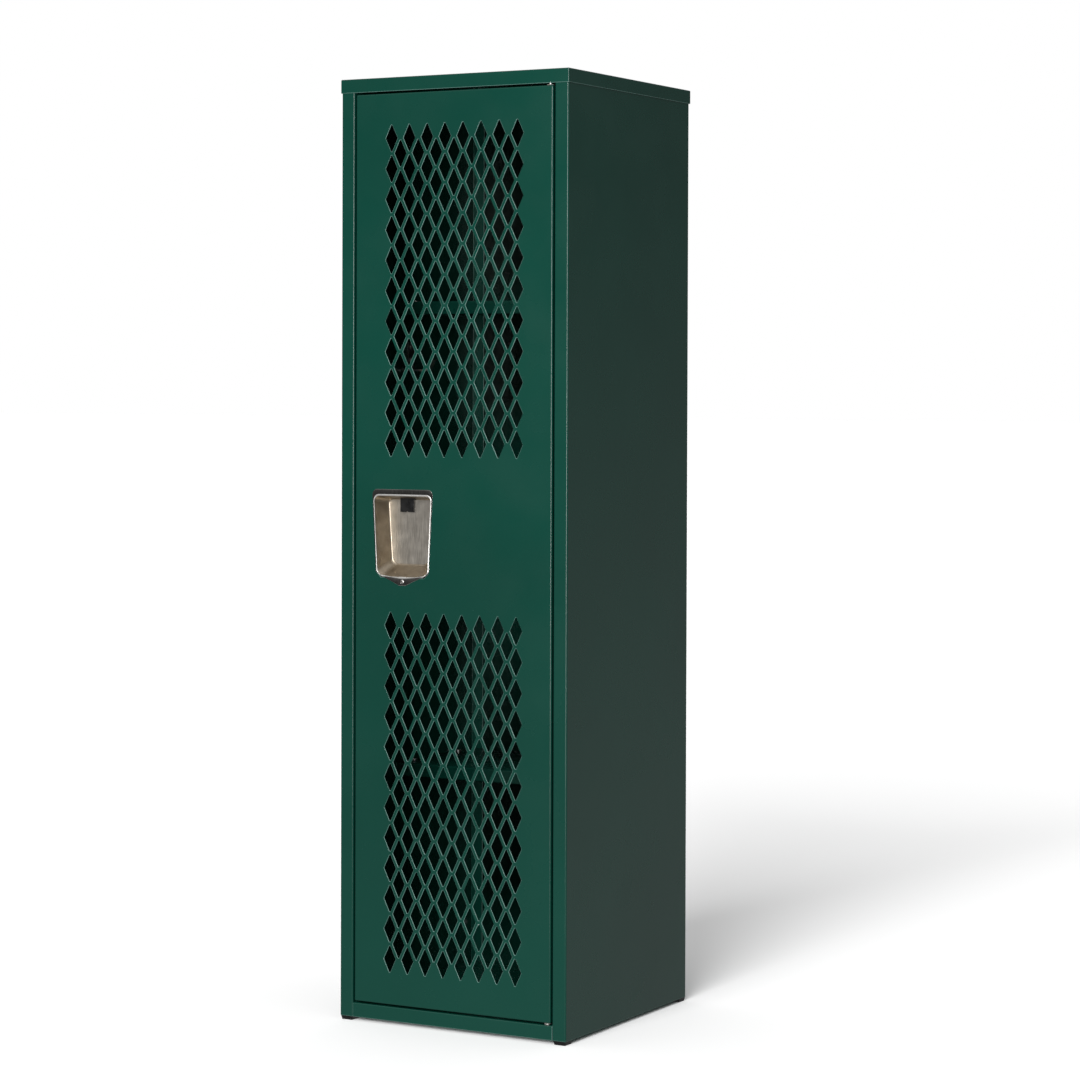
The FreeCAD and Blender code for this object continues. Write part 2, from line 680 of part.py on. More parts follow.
def coat_hook(side):
    """A folded strip: a back plate on the side panel and a prong that turns up."""
    sign = SIDES[side]
    top = coat_hook_top()
    low = f"({top} - coat_hook_height)"
    reach = f"({SIDE_INNER} - coat_hook_reach)"
    section = [
        (SIDE_INNER, top),
        (SIDE_INNER, low),
        (reach, low),
        (f"({reach} - 8)", f"{low} + 18"),
        (f"({reach} - 8 + coat_hook_sheet)", f"{low} + 18"),
        (f"({reach} + coat_hook_sheet * 0.8)", f"{low} + coat_hook_sheet"),
        (f"({SIDE_INNER} - coat_hook_sheet)", f"{low} + coat_hook_sheet"),
        (f"({SIDE_INNER} - coat_hook_sheet)", top),
    ]
    section = [(f"{sign} * {x}", z) for x, z in section]
    place = "-(coat_hook_width / 2)"
    body = prism(f"coat_hook_{side}", "XZ", place, section, "coat_hook_width")
    plane = SIDE_INNER if side == "right" else f"-{SIDE_INNER} + coat_hook_sheet"
    holes = [("0", z, "screw_radius + press_gap") for z in coat_screw_heights()]
    pocket(body, new_sketch(body, "YZ", plane, circles=holes), "coat_hook_sheet")
    return body


def coat_screw_heights():
    return [f"{coat_hook_top()} - 8", f"{coat_hook_top()} - 28"]


def coat_hook_screws():
    screws = []
    for side, toward in (("left", "+x"), ("right", "-x")):
        sign = SIDES[side]
        for z in coat_screw_heights():
            start = f"{sign} * {SIDE_INNER}"
            face = f"{sign} * ({SIDE_INNER} - coat_hook_sheet)"
            size = "screw_radius"
            shank = lying_rod("hook_shank", toward, start, "0", z, "coat_hook_sheet", size)
            head = lying_rod("hook_head", toward, face, "0", z, "2.2", "screw_radius * 1.8")
            screws.append(fuse("coat_hook_screw", [shank, head]))
    return group("coat_hook_screws", screws)


# ---------------------------------------------------------------- door

def diamond():
    """One diamond prism at the origin, long enough to pass through the door's face."""
    width, height, tip = value("diamond_width"), value("diamond_height"), value("diamond_tip")
    half = [(-width / 2, 0), (-tip / 2, -height / 2), (tip / 2, -height / 2)]
    front = value(back("0")) - 1
    corners = [FreeCAD.Vector(x, front, z) for x, z in half + [(-x, -z) for x, z in half]]
    face = Part.Face(Part.makePolygon(corners + corners[:1]))
    return face.extrude(FreeCAD.Vector(0, value("door_sheet") + 2, 0))


def grille_columns():
    """How many openings fit side by side on the door."""
    room = value(f"2 * {DOOR_EDGE} - 2 * grille_side - diamond_width")
    return int(room / value("diamond_pitch_x")) + 1


def grille_spans():
    """For each grille, the middle of its first row and the lowest that its last row may reach."""
    upper_start = value(f"{LID_TOP} - upper_grille_drop")
    upper_limit = value(f"{CUP_TOP} + grille_end")
    lower_start = value(f"{CUP_TOP} - cup_height - lower_grille_gap")
    lower_limit = value(f"{DOOR_BOTTOM} + grille_end")
    return [(upper_start, upper_limit), (lower_start, lower_limit)]


def grille_openings():
    """Both grilles' diamonds: full rows, and between them rows with one fewer."""
    columns = grille_columns()
    pitch_x, pitch_z = value("diamond_pitch_x"), value("diamond_pitch_z")
    left = value("grille_shift") - (columns - 1) * pitch_x / 2
    opening = diamond()
    openings = []
    for top, limit in grille_spans():
        full_rows = int((top - limit - value("diamond_height") / 2) / pitch_z) + 1
        for row in range(2 * full_rows - 1):
            offset = row % 2
            for column in range(columns - offset):
                x = left + (column + offset / 2) * pitch_x
                z = top - row * pitch_z / 2
                openings.append(opening.translated(FreeCAD.Vector(x, 0, z)))
    item = doc.addObject("Part::Feature", "grille_openings")
    item.Shape = Part.makeCompound(openings)
    return item


def cup_recess_corners(grow, sink):
    """Corners of the recess: sink runs from 0 at the flange to 1 at the back of the cup."""
    top = f"({CUP_TOP} - cup_band + {grow} - {sink} * cup_top_draft)"
    low = f"({CUP_TOP} - cup_height + cup_foot_band - {grow} + {sink} * cup_rise)"
    slope = f"{grow} - {sink} * cup_side_draft"
    upper = f"(cup_top_width / 2 - cup_side_band + {slope})"
    lower = f"(cup_bottom_width / 2 - cup_side_band + {slope})"
    return [
        (f"cup_centre - {lower}", low),
        (f"cup_centre + {lower}", low),
        (f"cup_centre + {upper}", top),
        (f"cup_centre - {upper}", top),
    ]


def cup_cutout():
    """The hole in the door's face for the cup, with its lower corners cut off."""
    lower_left, lower_right, upper_right, upper_left = cup_recess_corners("(cup_sheet + 0.4)", "0")
    cut_off = "(cup_low_corner * 0.55)"
    return [
        (f"{lower_left[0]} + {cut_off}", lower_left[1]),
        (f"{lower_right[0]} - {cut_off}", lower_right[1]),
        (lower_right[0], f"{lower_right[1]} + {cut_off}"),
        upper_right,
        upper_left,
        (lower_left[0], f"{lower_left[1]} + {cut_off}"),
    ]


def door_panel():
    """The door's face, folded back on all four sides, with its grilles and the cup's cut-out."""
    front = back("0")
    rear = back("door_depth")
    section = [
        (f"-{DOOR_EDGE}", front),
        (DOOR_EDGE, front),
        (DOOR_EDGE, rear),
        (DOOR_INNER, rear),
        (DOOR_INNER, back("door_sheet")),
        (f"-{DOOR_INNER}", back("door_sheet")),
        (f"-{DOOR_INNER}", rear),
        (f"-{DOOR_EDGE}", rear),
    ]
    body = prism("door_blank", "XY", DOOR_BOTTOM, section, f"{DOOR_TOP} - {DOOR_BOTTOM}")
    fold = rectangle(f"-{DOOR_INNER}", DOOR_INNER, back("door_sheet"), rear)
    end_folds = (DOOR_BOTTOM, f"({DOOR_TOP} - door_sheet)")
    for low in end_folds:
        pad(body, new_sketch(body, "XY", low, [fold]), "door_sheet")
    edges = [{"x": x, "y": front} for x in (f"-{DOOR_EDGE}", DOOR_EDGE)]
    for z in (DOOR_TOP, DOOR_BOTTOM):
        edges += [{"y": front, "z": z}, {"x": DOOR_EDGE, "z": z}, {"x": f"-{DOOR_EDGE}", "z": z}]
    round_edges(body, "bend", edges)
    hole = [(PIN_X, back("pin_depth"), "bush_radius + press_gap")]
    for low in end_folds:
        pocket(body, new_sketch(body, "XY", low, circles=hole), "door_sheet", True)
    pocket(body, new_sketch(body, "XZ", HALF_DEPTH, [cup_cutout()]), "door_sheet")
    screw = [("cup_centre", cup_screw_height(), "screw_radius * 0.8 + press_gap")]
    pocket(body, new_sketch(body, "XZ", HALF_DEPTH, circles=screw), "door_sheet")
    perforated = cut("door_panel", body, grille_openings())
    perforated.Refine = False
    return perforated


def latch_channel():
    """A channel inside the door's free edge; the lock bar slides in it."""
    rear = back("door_depth")
    web = back("(door_depth - sheet)")
    section = [
        (f"-{DOOR_INNER}", web),
        (f"{CHANNEL_RIGHT} - sheet", web),
        (f"{CHANNEL_RIGHT} - sheet", back("door_sheet")),
        (CHANNEL_RIGHT, back("door_sheet")),
        (CHANNEL_RIGHT, rear),
        (f"-{DOOR_INNER}", rear),
    ]
    low = f"({DOOR_BOTTOM} + door_sheet)"
    body = prism("latch_channel", "XY", low, section, f"{DOOR_TOP} - door_sheet - {low}")
    for underside in HOOKS.values():
        start = f"({underside} - 3)"
        stop = f"({underside} + arm_height + nose_height + 3)"
        left = f"{HOOK_RIGHT} - hook_thickness - 1.6"
        slot = rectangle(left, f"{HOOK_RIGHT} + 1.6", start, stop)
        pocket(body, new_sketch(body, "XZ", f"-({web}) + 1", [slot]), "sheet + 2")
    window = rectangle(
        back(f"({BRACKET_DEPTH} - 0.8)"),
        back(f"({BRACKET_DEPTH} + bracket_sheet + 0.8)"),
        f"({BRACKET_BOTTOM} - 0.4)",
        f"({BRACKET_TOP} + lift_travel + 1)",
    )
    pocket(body, new_sketch(body, "YZ", CHANNEL_RIGHT, [window]), "sheet")
    round_edges(body, "bend * 0.9", [{"x": CHANNEL_RIGHT, "y": rear}])
    return body


def hinge_stiffener():
    """A channel inside the door's pivot edge."""
    left = f"({DOOR_INNER} - stiffener_width)"
    section = [
        (left, back("door_sheet")),
        (f"{left} + sheet", back("door_sheet")),
        (f"{left} + sheet", back("(door_depth - sheet)")),
        (DOOR_INNER, back("(door_depth - sheet)")),
        (DOOR_INNER, back("door_depth")),
        (left, back("door_depth")),
    ]
    low = f"({DOOR_BOTTOM} + stiffener_inset)"
    length = f"{DOOR_TOP} - {DOOR_BOTTOM} - 2 * stiffener_inset"
    body = prism("hinge_stiffener", "XY", low, section, length)
    round_edges(body, "bend * 0.9", [{"x": left, "y": back("door_depth")}])
    return body


def pivot_plate(end):
    """A thick plate under the door's end fold that holds a bush."""
    inside = "(door_sheet + plate)"
    low = f"{DOOR_TOP} - {inside}" if end == "top" else f"{DOOR_BOTTOM} + door_sheet"
    outline = rectangle(f"{DOOR_INNER} - 26", DOOR_INNER, back("door_sheet"), back("16"))
    hole = [(PIN_X, back("pin_depth"), "bush_radius + press_gap")]
    return prism(f"pivot_plate_{end}", "XY", low, outline, "plate", hole)


def pivot_bush(end):
    """A flanged nylon bush; its flange lies in the reveal."""
    x, y = PIN_X, back("pin_depth")
    bore = "pin_radius + pin_running"
    if end == "top":
        low, high = f"({DOOR_TOP} - pin_engagement)", DOOR_TOP
        flange_low, flange_high = DOOR_TOP, f"({DOOR_TOP} + bush_flange_height)"
    else:
        low, high = DOOR_BOTTOM, f"({DOOR_BOTTOM} + pin_engagement)"
        flange_low, flange_high = f"({DOOR_BOTTOM} - bush_flange_height)", DOOR_BOTTOM
    sleeve = rod("bush_sleeve", x, y, low, high, "bush_radius")
    flange = rod("bush_flange", x, y, flange_low, flange_high, "bush_flange")
    hole = rod("bush_bore", x, y, f"{low} - 3", f"{high} + 3", bore)
    return cut(f"pivot_bush_{end}", fuse("bush_blank", [sleeve, flange]), hole)


def rounded_wire(points, radii, y):
    """A closed wire in an upright plane whose corners are arcs."""
    corners = [FreeCAD.Vector(value(u), y, value(v)) for u, v in points]
    count = len(corners)
    starts, middles, ends = [], [], []
    for number, corner in enumerate(corners):
        before = (corners[number - 1] - corner).normalize()
        after = (corners[(number + 1) % count] - corner).normalize()
        half = before.getAngle(after) / 2
        reach = radii[number] / math.tan(half)
        inward = (before + after).normalize()
        centre = corner + inward * (radii[number] / math.sin(half))
        starts.append(corner + before * reach)
        middles.append(centre - inward * radii[number])
        ends.append(corner + after * reach)
    edges = []
    for number in range(count):
        edges.append(Part.Arc(starts[number], middles[number], ends[number]).toShape())
        edges.append(Part.makeLine(ends[number], starts[(number + 1) % count]))
    return Part.Wire(edges)


def cup_screw_height():
    return f"({CUP_TOP} - cup_height + cup_screw_rise)"


def recess_cup():
    """A drawn stainless cup with sloping sides and a flange that ends in a point."""
    front = value(back("0"))
    depth = value("cup_depth")
    metal = value("cup_sheet")
    upper, lower = value("cup_top_corner"), value("cup_low_corner")
    shoulder = f"({CUP_TOP} - cup_height + cup_point)"
    point = f"({CUP_TOP} - cup_height)"
    flange = [
        ("cup_centre - cup_point_width / 2", point),
        ("cup_centre + cup_point_width / 2", point),
        ("cup_centre + cup_bottom_width / 2", shoulder),
        ("cup_centre + cup_top_width / 2", CUP_TOP),
        ("cup_centre - cup_top_width / 2", CUP_TOP),
        ("cup_centre - cup_bottom_width / 2", shoulder),
    ]
    plate = Part.Face(rounded_wire(flange, [3, 3, 6, 8, 8, 6], front))
    plate = plate.extrude(FreeCAD.Vector(0, -metal, 0))

    def recess(grow, start, stop):
        radii = [lower + grow, lower + grow, upper + grow, upper + grow]
        wires = []
        for y in (start, stop):
            corners = cup_recess_corners(str(grow), str((y - front) / depth))
            wires.append(rounded_wire(corners, radii, y))
        return Part.makeLoft(wires, True, True)

    shell = recess(metal, front, front + depth)
    hollow = recess(0, front - metal, front + depth - metal)
    half = value("lift_width / 2 + lift_slot_gap")
    slot_front = value(back("(lift_depth - lift_slot_gap)"))
    slot_depth = front + depth - metal - slot_front
    slot_low = value(f"{CUP_TOP} - cup_band - 2 * cup_top_draft")
    corner_point = FreeCAD.Vector(value(LIFT_X) - half, slot_front, slot_low)
    slot = Part.makeBox(2 * half, slot_depth, value("4 * cup_top_draft"), corner_point)
    hole_start = FreeCAD.Vector(value("cup_centre"), front - 2 * metal, value(cup_screw_height()))
    radius = value("screw_radius * 0.8 + press_gap")
    hole = Part.makeCylinder(radius, 4 * metal, hole_start, FreeCAD.Vector(0, 1, 0))
    item = doc.addObject("Part::Feature", "recess_cup")
    item.Label = "recess_cup"
    item.Shape = plate.fuse(shell).cut(hollow).cut(slot).cut(hole).removeSplitter()
    return item


def cup_screw():
    """One pan-head screw through the point of the flange."""
    z = cup_screw_height()
    face = back("(-cup_sheet)")
    size = "screw_radius * 0.8"
    shank = lying_rod("cup_shank", "+y", "cup_centre", face, z, "cup_sheet + 9", size)
    head = lying_rod("cup_head", "-y", "cup_centre", face, z, "0.9", "cup_screw_radius")
    return fuse("cup_screw", [shank, head])


def cup_nut():
    """The square nut behind the door's face that the cup's screw pulls on."""
    z = cup_screw_height()
    low = ("cup_centre - 4.5", back("door_sheet"), f"{z} - 4.5")
    high = ("cup_centre + 4.5", back("(door_sheet + 4)"), f"{z} + 4.5")
    size = "screw_radius * 0.8 + press_gap"
    bore = lying_rod("nut_bore", "+y", "cup_centre", back("0"), z, "10", size)
    return cut("cup_nut", box("nut_block", low, high), bore)


def guide_heights():
    """Lower face of each bar guide: clear of the hooks' slots and of the lift bracket."""
    room = "hook_height + lift_travel + 12"
    return {
        "top": f"({HOOKS['top']} + {room})",
        "middle": f"({HOOKS['middle']} - {room} - guide_height)",
        "bottom": f"({HOOKS['bottom']} - {room})",
    }


def bar_guide(name):
    """A nylon block in the latch channel with a slot that fits the lock bar."""
    low = guide_heights()[name]
    outline = rectangle(
        f"{BAR_LEFT} - 4", f"{CHANNEL_RIGHT} - sheet", back("door_sheet"), back("(door_depth - sheet)")
    )
    slot = rectangle(
        f"{BAR_LEFT} - bar_clearance",
        f"{BAR_RIGHT} + bar_clearance",
        back("(bar_depth - bar_clearance)"),
        back("(bar_depth + plate + bar_clearance)"),
    )
    body = new_body(f"bar_guide_{name}")
    pad(body, new_sketch(body, "XY", low, [outline, slot]), "guide_height")
    return body


# ---------------------------------------------------------------- latch

def lock_bar():
    """The sliding bar, with a tab that rests behind each hook's nose."""
    low = f"({HOOKS['bottom']} - hook_height - 40)"
    high = f"({HOOKS['top']} + hook_height + 50)"
    outline = rectangle(BAR_LEFT, BAR_RIGHT, low, high)
    rear = f"-({back('(bar_depth + plate)')})"
    body = prism("lock_bar", "XZ", rear, outline, "plate")
    for underside in HOOKS.values():
        start = f"({underside} + arm_height + bar_clearance)"
        tab = rectangle(f"{BAR_LEFT} - 7.2", BAR_LEFT, start, f"{start} + tab_height")
        pad(body, new_sketch(body, "XZ", rear, [tab]), "plate")
    rivets = [(f"{BAR_LEFT} + 6", z, "rivet_radius + press_gap") for z in rivet_heights()]
    front = f"-({back('bar_depth')})"
    pocket(body, new_sketch(body, "XZ", front, circles=rivets), "plate")
    return body


def rivet_heights():
    return [f"({BRACKET_BOTTOM} + 4)", f"({BRACKET_TOP} - 4)"]


def lift_rivet_places():
    return [f"({LIFT_X} - 7)", f"({LIFT_X} + 7)"]


def lift_bracket():
    """The flat arm that joins the lock bar to the finger lift."""
    right = f"({LIFT_X} + lift_width / 2)"
    outline = rectangle(f"{BAR_LEFT} + 1", right, BRACKET_BOTTOM, BRACKET_TOP)
    holes = [(f"{BAR_LEFT} + 6", z, "rivet_radius + press_gap") for z in rivet_heights()]
    middle = f"({BRACKET_BOTTOM} + bracket_height / 2)"
    holes += [(x, middle, "rivet_radius + press_gap") for x in lift_rivet_places()]
    rear = f"-({back(f'({BRACKET_DEPTH} + bracket_sheet)')})"
    return prism("lift_bracket", "XZ", rear, outline, "bracket_sheet", holes)


def finger_lift():
    """The black blade in the cup; its block behind the door's face is riveted to the bracket."""
    block_front = back(f"({BRACKET_DEPTH} + bracket_sheet)")
    blade_front = back("lift_depth")
    blade_rear = back("(lift_depth + lift_thickness)")
    section = [
        (block_front, BRACKET_BOTTOM),
        (blade_front, BRACKET_BOTTOM),
        (blade_front, LIFT_BOTTOM),
        (blade_rear, LIFT_BOTTOM),
        (blade_rear, BRACKET_TOP),
        (block_front, BRACKET_TOP),
    ]
    left = f"({LIFT_X} - lift_width / 2)"
    body = prism("finger_lift", "YZ", left, section, "lift_width")
    middle = f"({BRACKET_BOTTOM} + bracket_height / 2)"
    holes = [(x, middle, "rivet_radius + press_gap") for x in lift_rivet_places()]
    front = f"-({block_front})"
    reach = "lift_depth + lift_thickness"
    pocket(body, new_sketch(body, "XZ", front, circles=holes), reach)
    notch_centre = LIFT_X
    notch = [
        (f"{notch_centre} - 2", LIFT_BOTTOM),
        (f"{notch_centre} + 2", LIFT_BOTTOM),
        (notch_centre, f"{LIFT_BOTTOM} + 3"),
    ]
    pocket(body, new_sketch(body, "XZ", f"-({blade_front})", [notch]), "lift_thickness")
    dimple = [(f"{LIFT_X} + 4", f"{LIFT_BOTTOM} + 15", "rivet_radius * 1.4")]
    pocket(body, new_sketch(body, "XZ", f"-({blade_front})", circles=dimple), "2")
    return body


def bracket_rivets():
    """Four rivets: two in the lock bar, two in the finger lift."""
    rivets = []
    start = back("(bar_depth - 0.8)")
    for z in rivet_heights():
        x = f"{BAR_LEFT} + 6"
        grip = "plate + bracket_sheet + 0.8"
        shank = lying_rod("bar_rivet", "+y", x, start, z, grip, "rivet_radius")
        head = lying_rod("bar_head", "+y", x, start, z, "0.8", "rivet_radius * 1.7")
        tail_start = back(f"({BRACKET_DEPTH} + bracket_sheet)")
        tail = lying_rod("bar_tail", "+y", x, tail_start, z, "0.8", "rivet_radius * 1.7")
        rivets.append(fuse("bracket_rivet", [shank, head, tail]))
    face = back(f"({BRACKET_DEPTH} - 0.8)")
    z = f"({BRACKET_BOTTOM} + bracket_height / 2)"
    for x in lift_rivet_places():
        length = f"lift_depth + lift_thickness - {BRACKET_DEPTH} + 0.8"
        shank = lying_rod("lift_rivet", "+y", x, face, z, length, "rivet_radius")
        head = lying_rod("lift_head", "+y", x, face, z, "0.8", "rivet_radius * 1.7")
        rivets.append(fuse("bracket_rivet", [shank, head]))
    return group("bracket_rivets", rivets)


# ---------------------------------------------------------------- the whole locker

def build():
    pieces = [side_panel(side) for side in SIDES]
    pieces += [back_panel(), top_lid(), head_rail(), bottom_pan()]
    for name in SHELVES:
        pieces.append(shelf(name))
        pieces += [shelf_support(name, side) for side in SIDES]
    pieces.append(shelf_screws())
    for side in SIDES:
        for end in ("front", "rear"):
            pieces += [foot(side, end), gusset(side, end)]
    pieces.append(foot_nuts())
    for name in HOOKS:
        pieces += [frame_hook(name), silencer(name), bar_guide(name)]
    for end in ("top", "bottom"):
        pieces += [pivot_pin(end), pivot_bracket(end), pivot_plate(end), pivot_bush(end)]
    pieces.append(thrust_washer())
    pieces += [coat_hook(side) for side in SIDES]
    pieces.append(coat_hook_screws())
    pieces += [door_panel(), latch_channel(), hinge_stiffener()]
    pieces += [recess_cup(), cup_screw(), cup_nut()]
    pieces += [lock_bar(), lift_bracket(), finger_lift(), bracket_rivets()]
    return pieces


def check(pieces):
    for item in doc.Objects:
        if "Invalid" in item.State or "Error" in item.State:
            raise RuntimeError(f"{item.Label} did not recompute")
    for item in pieces:
        shape = item.Shape
        if shape.isNull() or not shape.isValid() or not shape.Solids:
            raise RuntimeError(f"{item.Label} has no sound solid")


def write(pieces):
    os.makedirs("parts", exist_ok=True)
    for item in pieces:
        item.Shape.exportStep(f"parts/{item.Label}.step")


sub_parts = build()
doc.recompute()
check(sub_parts)
write(sub_parts)
print(len(sub_parts), "sub-parts written")
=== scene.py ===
"""A single-tier school locker: finishes, the drawn metal handle cup and its screw, light and camera."""

import json
import math

import bmesh
import bpy
from mathutils import Matrix, Vector


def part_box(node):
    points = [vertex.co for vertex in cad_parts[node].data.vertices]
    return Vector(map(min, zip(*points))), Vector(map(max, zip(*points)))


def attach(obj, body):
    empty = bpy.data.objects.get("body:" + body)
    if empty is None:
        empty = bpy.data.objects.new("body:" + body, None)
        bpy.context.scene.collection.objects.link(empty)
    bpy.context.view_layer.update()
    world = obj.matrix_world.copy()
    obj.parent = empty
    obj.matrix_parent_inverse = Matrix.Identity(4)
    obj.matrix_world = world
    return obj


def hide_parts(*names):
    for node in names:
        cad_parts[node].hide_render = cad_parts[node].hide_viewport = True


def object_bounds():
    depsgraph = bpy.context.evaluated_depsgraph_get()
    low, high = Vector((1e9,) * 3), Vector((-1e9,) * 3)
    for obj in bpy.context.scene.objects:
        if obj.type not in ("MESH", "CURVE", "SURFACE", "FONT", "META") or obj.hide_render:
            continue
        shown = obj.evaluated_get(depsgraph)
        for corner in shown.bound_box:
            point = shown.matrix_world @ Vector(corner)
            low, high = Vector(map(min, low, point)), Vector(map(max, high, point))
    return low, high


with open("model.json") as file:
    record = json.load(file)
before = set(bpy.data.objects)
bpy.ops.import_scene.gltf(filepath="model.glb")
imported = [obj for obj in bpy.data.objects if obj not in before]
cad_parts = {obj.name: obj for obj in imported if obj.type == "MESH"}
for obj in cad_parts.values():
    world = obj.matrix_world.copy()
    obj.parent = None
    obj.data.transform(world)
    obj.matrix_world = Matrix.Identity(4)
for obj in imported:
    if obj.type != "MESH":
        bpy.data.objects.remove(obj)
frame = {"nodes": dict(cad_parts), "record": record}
cad_low, cad_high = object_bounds()
MM = 0.001


# ---------------------------------------------------------------- node trees

def colour(red, green, blue):
    """Linear colour of an sRGB triple from 0 to 255."""
    def linear(part):
        part /= 255
        return part / 12.92 if part <= 0.04045 else ((part + 0.055) / 1.055) ** 2.4
    return (linear(red), linear(green), linear(blue), 1.0)


NOISE_MIDDLE = (0.3, 0.7)


class Finish:
    """A material with a Principled shader and short ways to add nodes to it."""

    def __init__(self, name, roughness, metallic=0.0, specular=0.5):
        self.material = bpy.data.materials.new(name)
        self.material.use_nodes = True
        self.tree = self.material.node_tree
        self.shader = self.tree.nodes["Principled BSDF"]
        self.shader.inputs["Roughness"].default_value = roughness
        self.shader.inputs["Metallic"].default_value = metallic
        self.shader.inputs["Specular IOR Level"].default_value = specular
        self.place = self.node("ShaderNodeTexCoord").outputs["Object"]

    def node(self, kind, **inputs):
        made = self.tree.nodes.new(kind)
        for name, given in inputs.items():
            socket = made.inputs[name.replace("_", " ")]
            if isinstance(given, bpy.types.NodeSocket):
                self.tree.links.new(given, socket)
            else:
                socket.default_value = given
        return made

    def stretched(self, x, y, z):
        """The place on the object, scaled along each axis."""
        return self.node("ShaderNodeMapping", Vector=self.place, Scale=(x, y, z)).outputs["Vector"]

    def noise(self, scale, detail=3.0, place=None):
        vector = place or self.place
        return self.node("ShaderNodeTexNoise", Vector=vector, Scale=scale, Detail=detail).outputs["Fac"]

    def cells(self, scale):
        return self.node("ShaderNodeTexVoronoi", Vector=self.place, Scale=scale).outputs["Color"]

    def spread(self, source, low, high, start=0.0, stop=1.0):
        """source, from start to stop, as a number from low to high."""
        made = self.node("ShaderNodeMapRange", Value=source)
        for name, number in (("From Min", start), ("From Max", stop), ("To Min", low), ("To Max", high)):
            made.inputs[name].default_value = number
        return made.outputs["Result"]

    def mixed(self, share, first, second):
        made = self.tree.nodes.new("ShaderNodeMix")
        made.data_type = "RGBA"
        for index, given in ((0, share), (6, first), (7, second)):
            if isinstance(given, bpy.types.NodeSocket):
                self.tree.links.new(given, made.inputs[index])
            else:
                made.inputs[index].default_value = given
        return made.outputs[2]

    def bump(self, height, distance, strength=1.0, under=None):
        made = self.node("ShaderNodeBump", Height=height, Distance=distance, Strength=strength)
        if under:
            self.tree.links.new(under, made.inputs["Normal"])
        return made.outputs["Normal"]

    def give(self, name, source):
        self.tree.links.new(source, self.shader.inputs[name])


# ---------------------------------------------------------------- finishes

def green_paint(name, highlight_lift=0.0):
    """Satin powder coat with a fine orange peel; highlight_lift from 0 to 1 is how much paler it is, as a
    painted highlight.
    """
    paint = Finish(name, 0.26)
    deep = colour(6 + 90 * highlight_lift, 62 + 72 * highlight_lift, 51 + 75 * highlight_lift)
    pale = colour(9 + 100 * highlight_lift, 69 + 80 * highlight_lift, 57 + 83 * highlight_lift)
    clouds = paint.spread(paint.noise(2.2, 4.0), 0.0, 1.0, 0.35, 0.65)
    speckle = paint.spread(paint.noise(700.0, 2.0), 0.0, 1.0, *NOISE_MIDDLE)
    speckle_share = 0.25
    share = paint.node("ShaderNodeMath")
    share.operation = "MULTIPLY_ADD"
    paint.tree.links.new(speckle, share.inputs[0])
    share.inputs[1].default_value = speckle_share
    paint.tree.links.new(clouds, share.inputs[2])
    paint.give("Base Color", paint.mixed(share.outputs[0], deep, pale))
    handled = paint.noise(14.0, 5.0)
    paint.give("Roughness", paint.spread(handled, 0.23, 0.3, *NOISE_MIDDLE))
    peel = paint.noise(420.0, 2.0)
    grit = paint.noise(1800.0, 1.0)
    paint.give("Normal", paint.bump(peel, 0.06 * MM, 0.5, paint.bump(grit, 0.01 * MM, 0.35)))
    return paint.material


def satin_steel(name, low, high, rough):
    """Stainless steel with drawing lines along its height and faint stains."""
    steel = Finish(name, rough, metallic=1.0)
    lines = steel.noise(1.0, 4.0, steel.stretched(1600, 1600, 60))
    stains = steel.noise(60.0, 5.0)
    steel.give("Base Color", steel.mixed(steel.spread(stains, 0.0, 1.0, *NOISE_MIDDLE), low, high))
    steel.give("Roughness", steel.spread(lines, rough - 0.06, rough + 0.08, *NOISE_MIDDLE))
    steel.give("Normal", steel.bump(lines, 0.02 * MM, 0.35, steel.bump(stains, 0.35 * MM, 0.3)))
    return steel.material


def bright_steel():
    """Turned steel with fine rings of tool marks worn smooth."""
    steel = Finish("bright_steel", 0.22, metallic=1.0)
    marks = steel.noise(1.0, 3.0, steel.stretched(300, 300, 5000))
    wear = steel.noise(260.0, 4.0)
    steel.give("Base Color", steel.mixed(wear, colour(176, 174, 170), colour(214, 212, 208)))
    steel.give("Roughness", steel.spread(wear, 0.14, 0.34, *NOISE_MIDDLE))
    steel.give("Normal", steel.bump(marks, 0.01 * MM, 0.4))
    return steel.material


def zinc_steel():
    """Zinc plate: small grey crystals with a faint warm and cool tint."""
    zinc = Finish("zinc_steel", 0.4, metallic=1.0)
    grains = zinc.cells(500.0)
    tint = zinc.noise(90.0, 4.0)
    plain = zinc.mixed(tint, colour(158, 163, 172), colour(186, 182, 166))
    grain_share = 0.12
    zinc.give("Base Color", zinc.mixed(grain_share, plain, grains))
    zinc.give("Roughness", zinc.spread(tint, 0.32, 0.52, *NOISE_MIDDLE))
    zinc.give("Normal", zinc.bump(zinc.noise(900.0, 3.0), 0.02 * MM, 0.4))
    return zinc.material


def black_plastic():
    """Moulded black plastic with a spark-eroded grain and rubbed patches."""
    plastic = Finish("black_plastic", 0.42)
    rubbed = plastic.noise(120.0, 4.0)
    plastic.give("Base Color", plastic.mixed(rubbed, colour(5, 5, 6), colour(14, 14, 15)))
    plastic.give("Roughness", plastic.spread(rubbed, 0.34, 0.52, *NOISE_MIDDLE))
    plastic.give("Normal", plastic.bump(plastic.noise(2200.0, 3.0), 0.04 * MM, 0.6))
    return plastic.material


def rubber():
    """Matt black rubber with a dusty bloom."""
    gum = Finish("rubber", 0.78, specular=0.35)
    bloom = gum.noise(180.0, 6.0)
    gum.give("Base Color", gum.mixed(bloom, colour(20, 20, 20), colour(44, 43, 41)))
    gum.give("Roughness", gum.spread(bloom, 0.7, 0.9, *NOISE_MIDDLE))
    gum.give("Normal", gum.bump(gum.noise(1400.0, 4.0), 0.06 * MM, 0.7))
    return gum.material


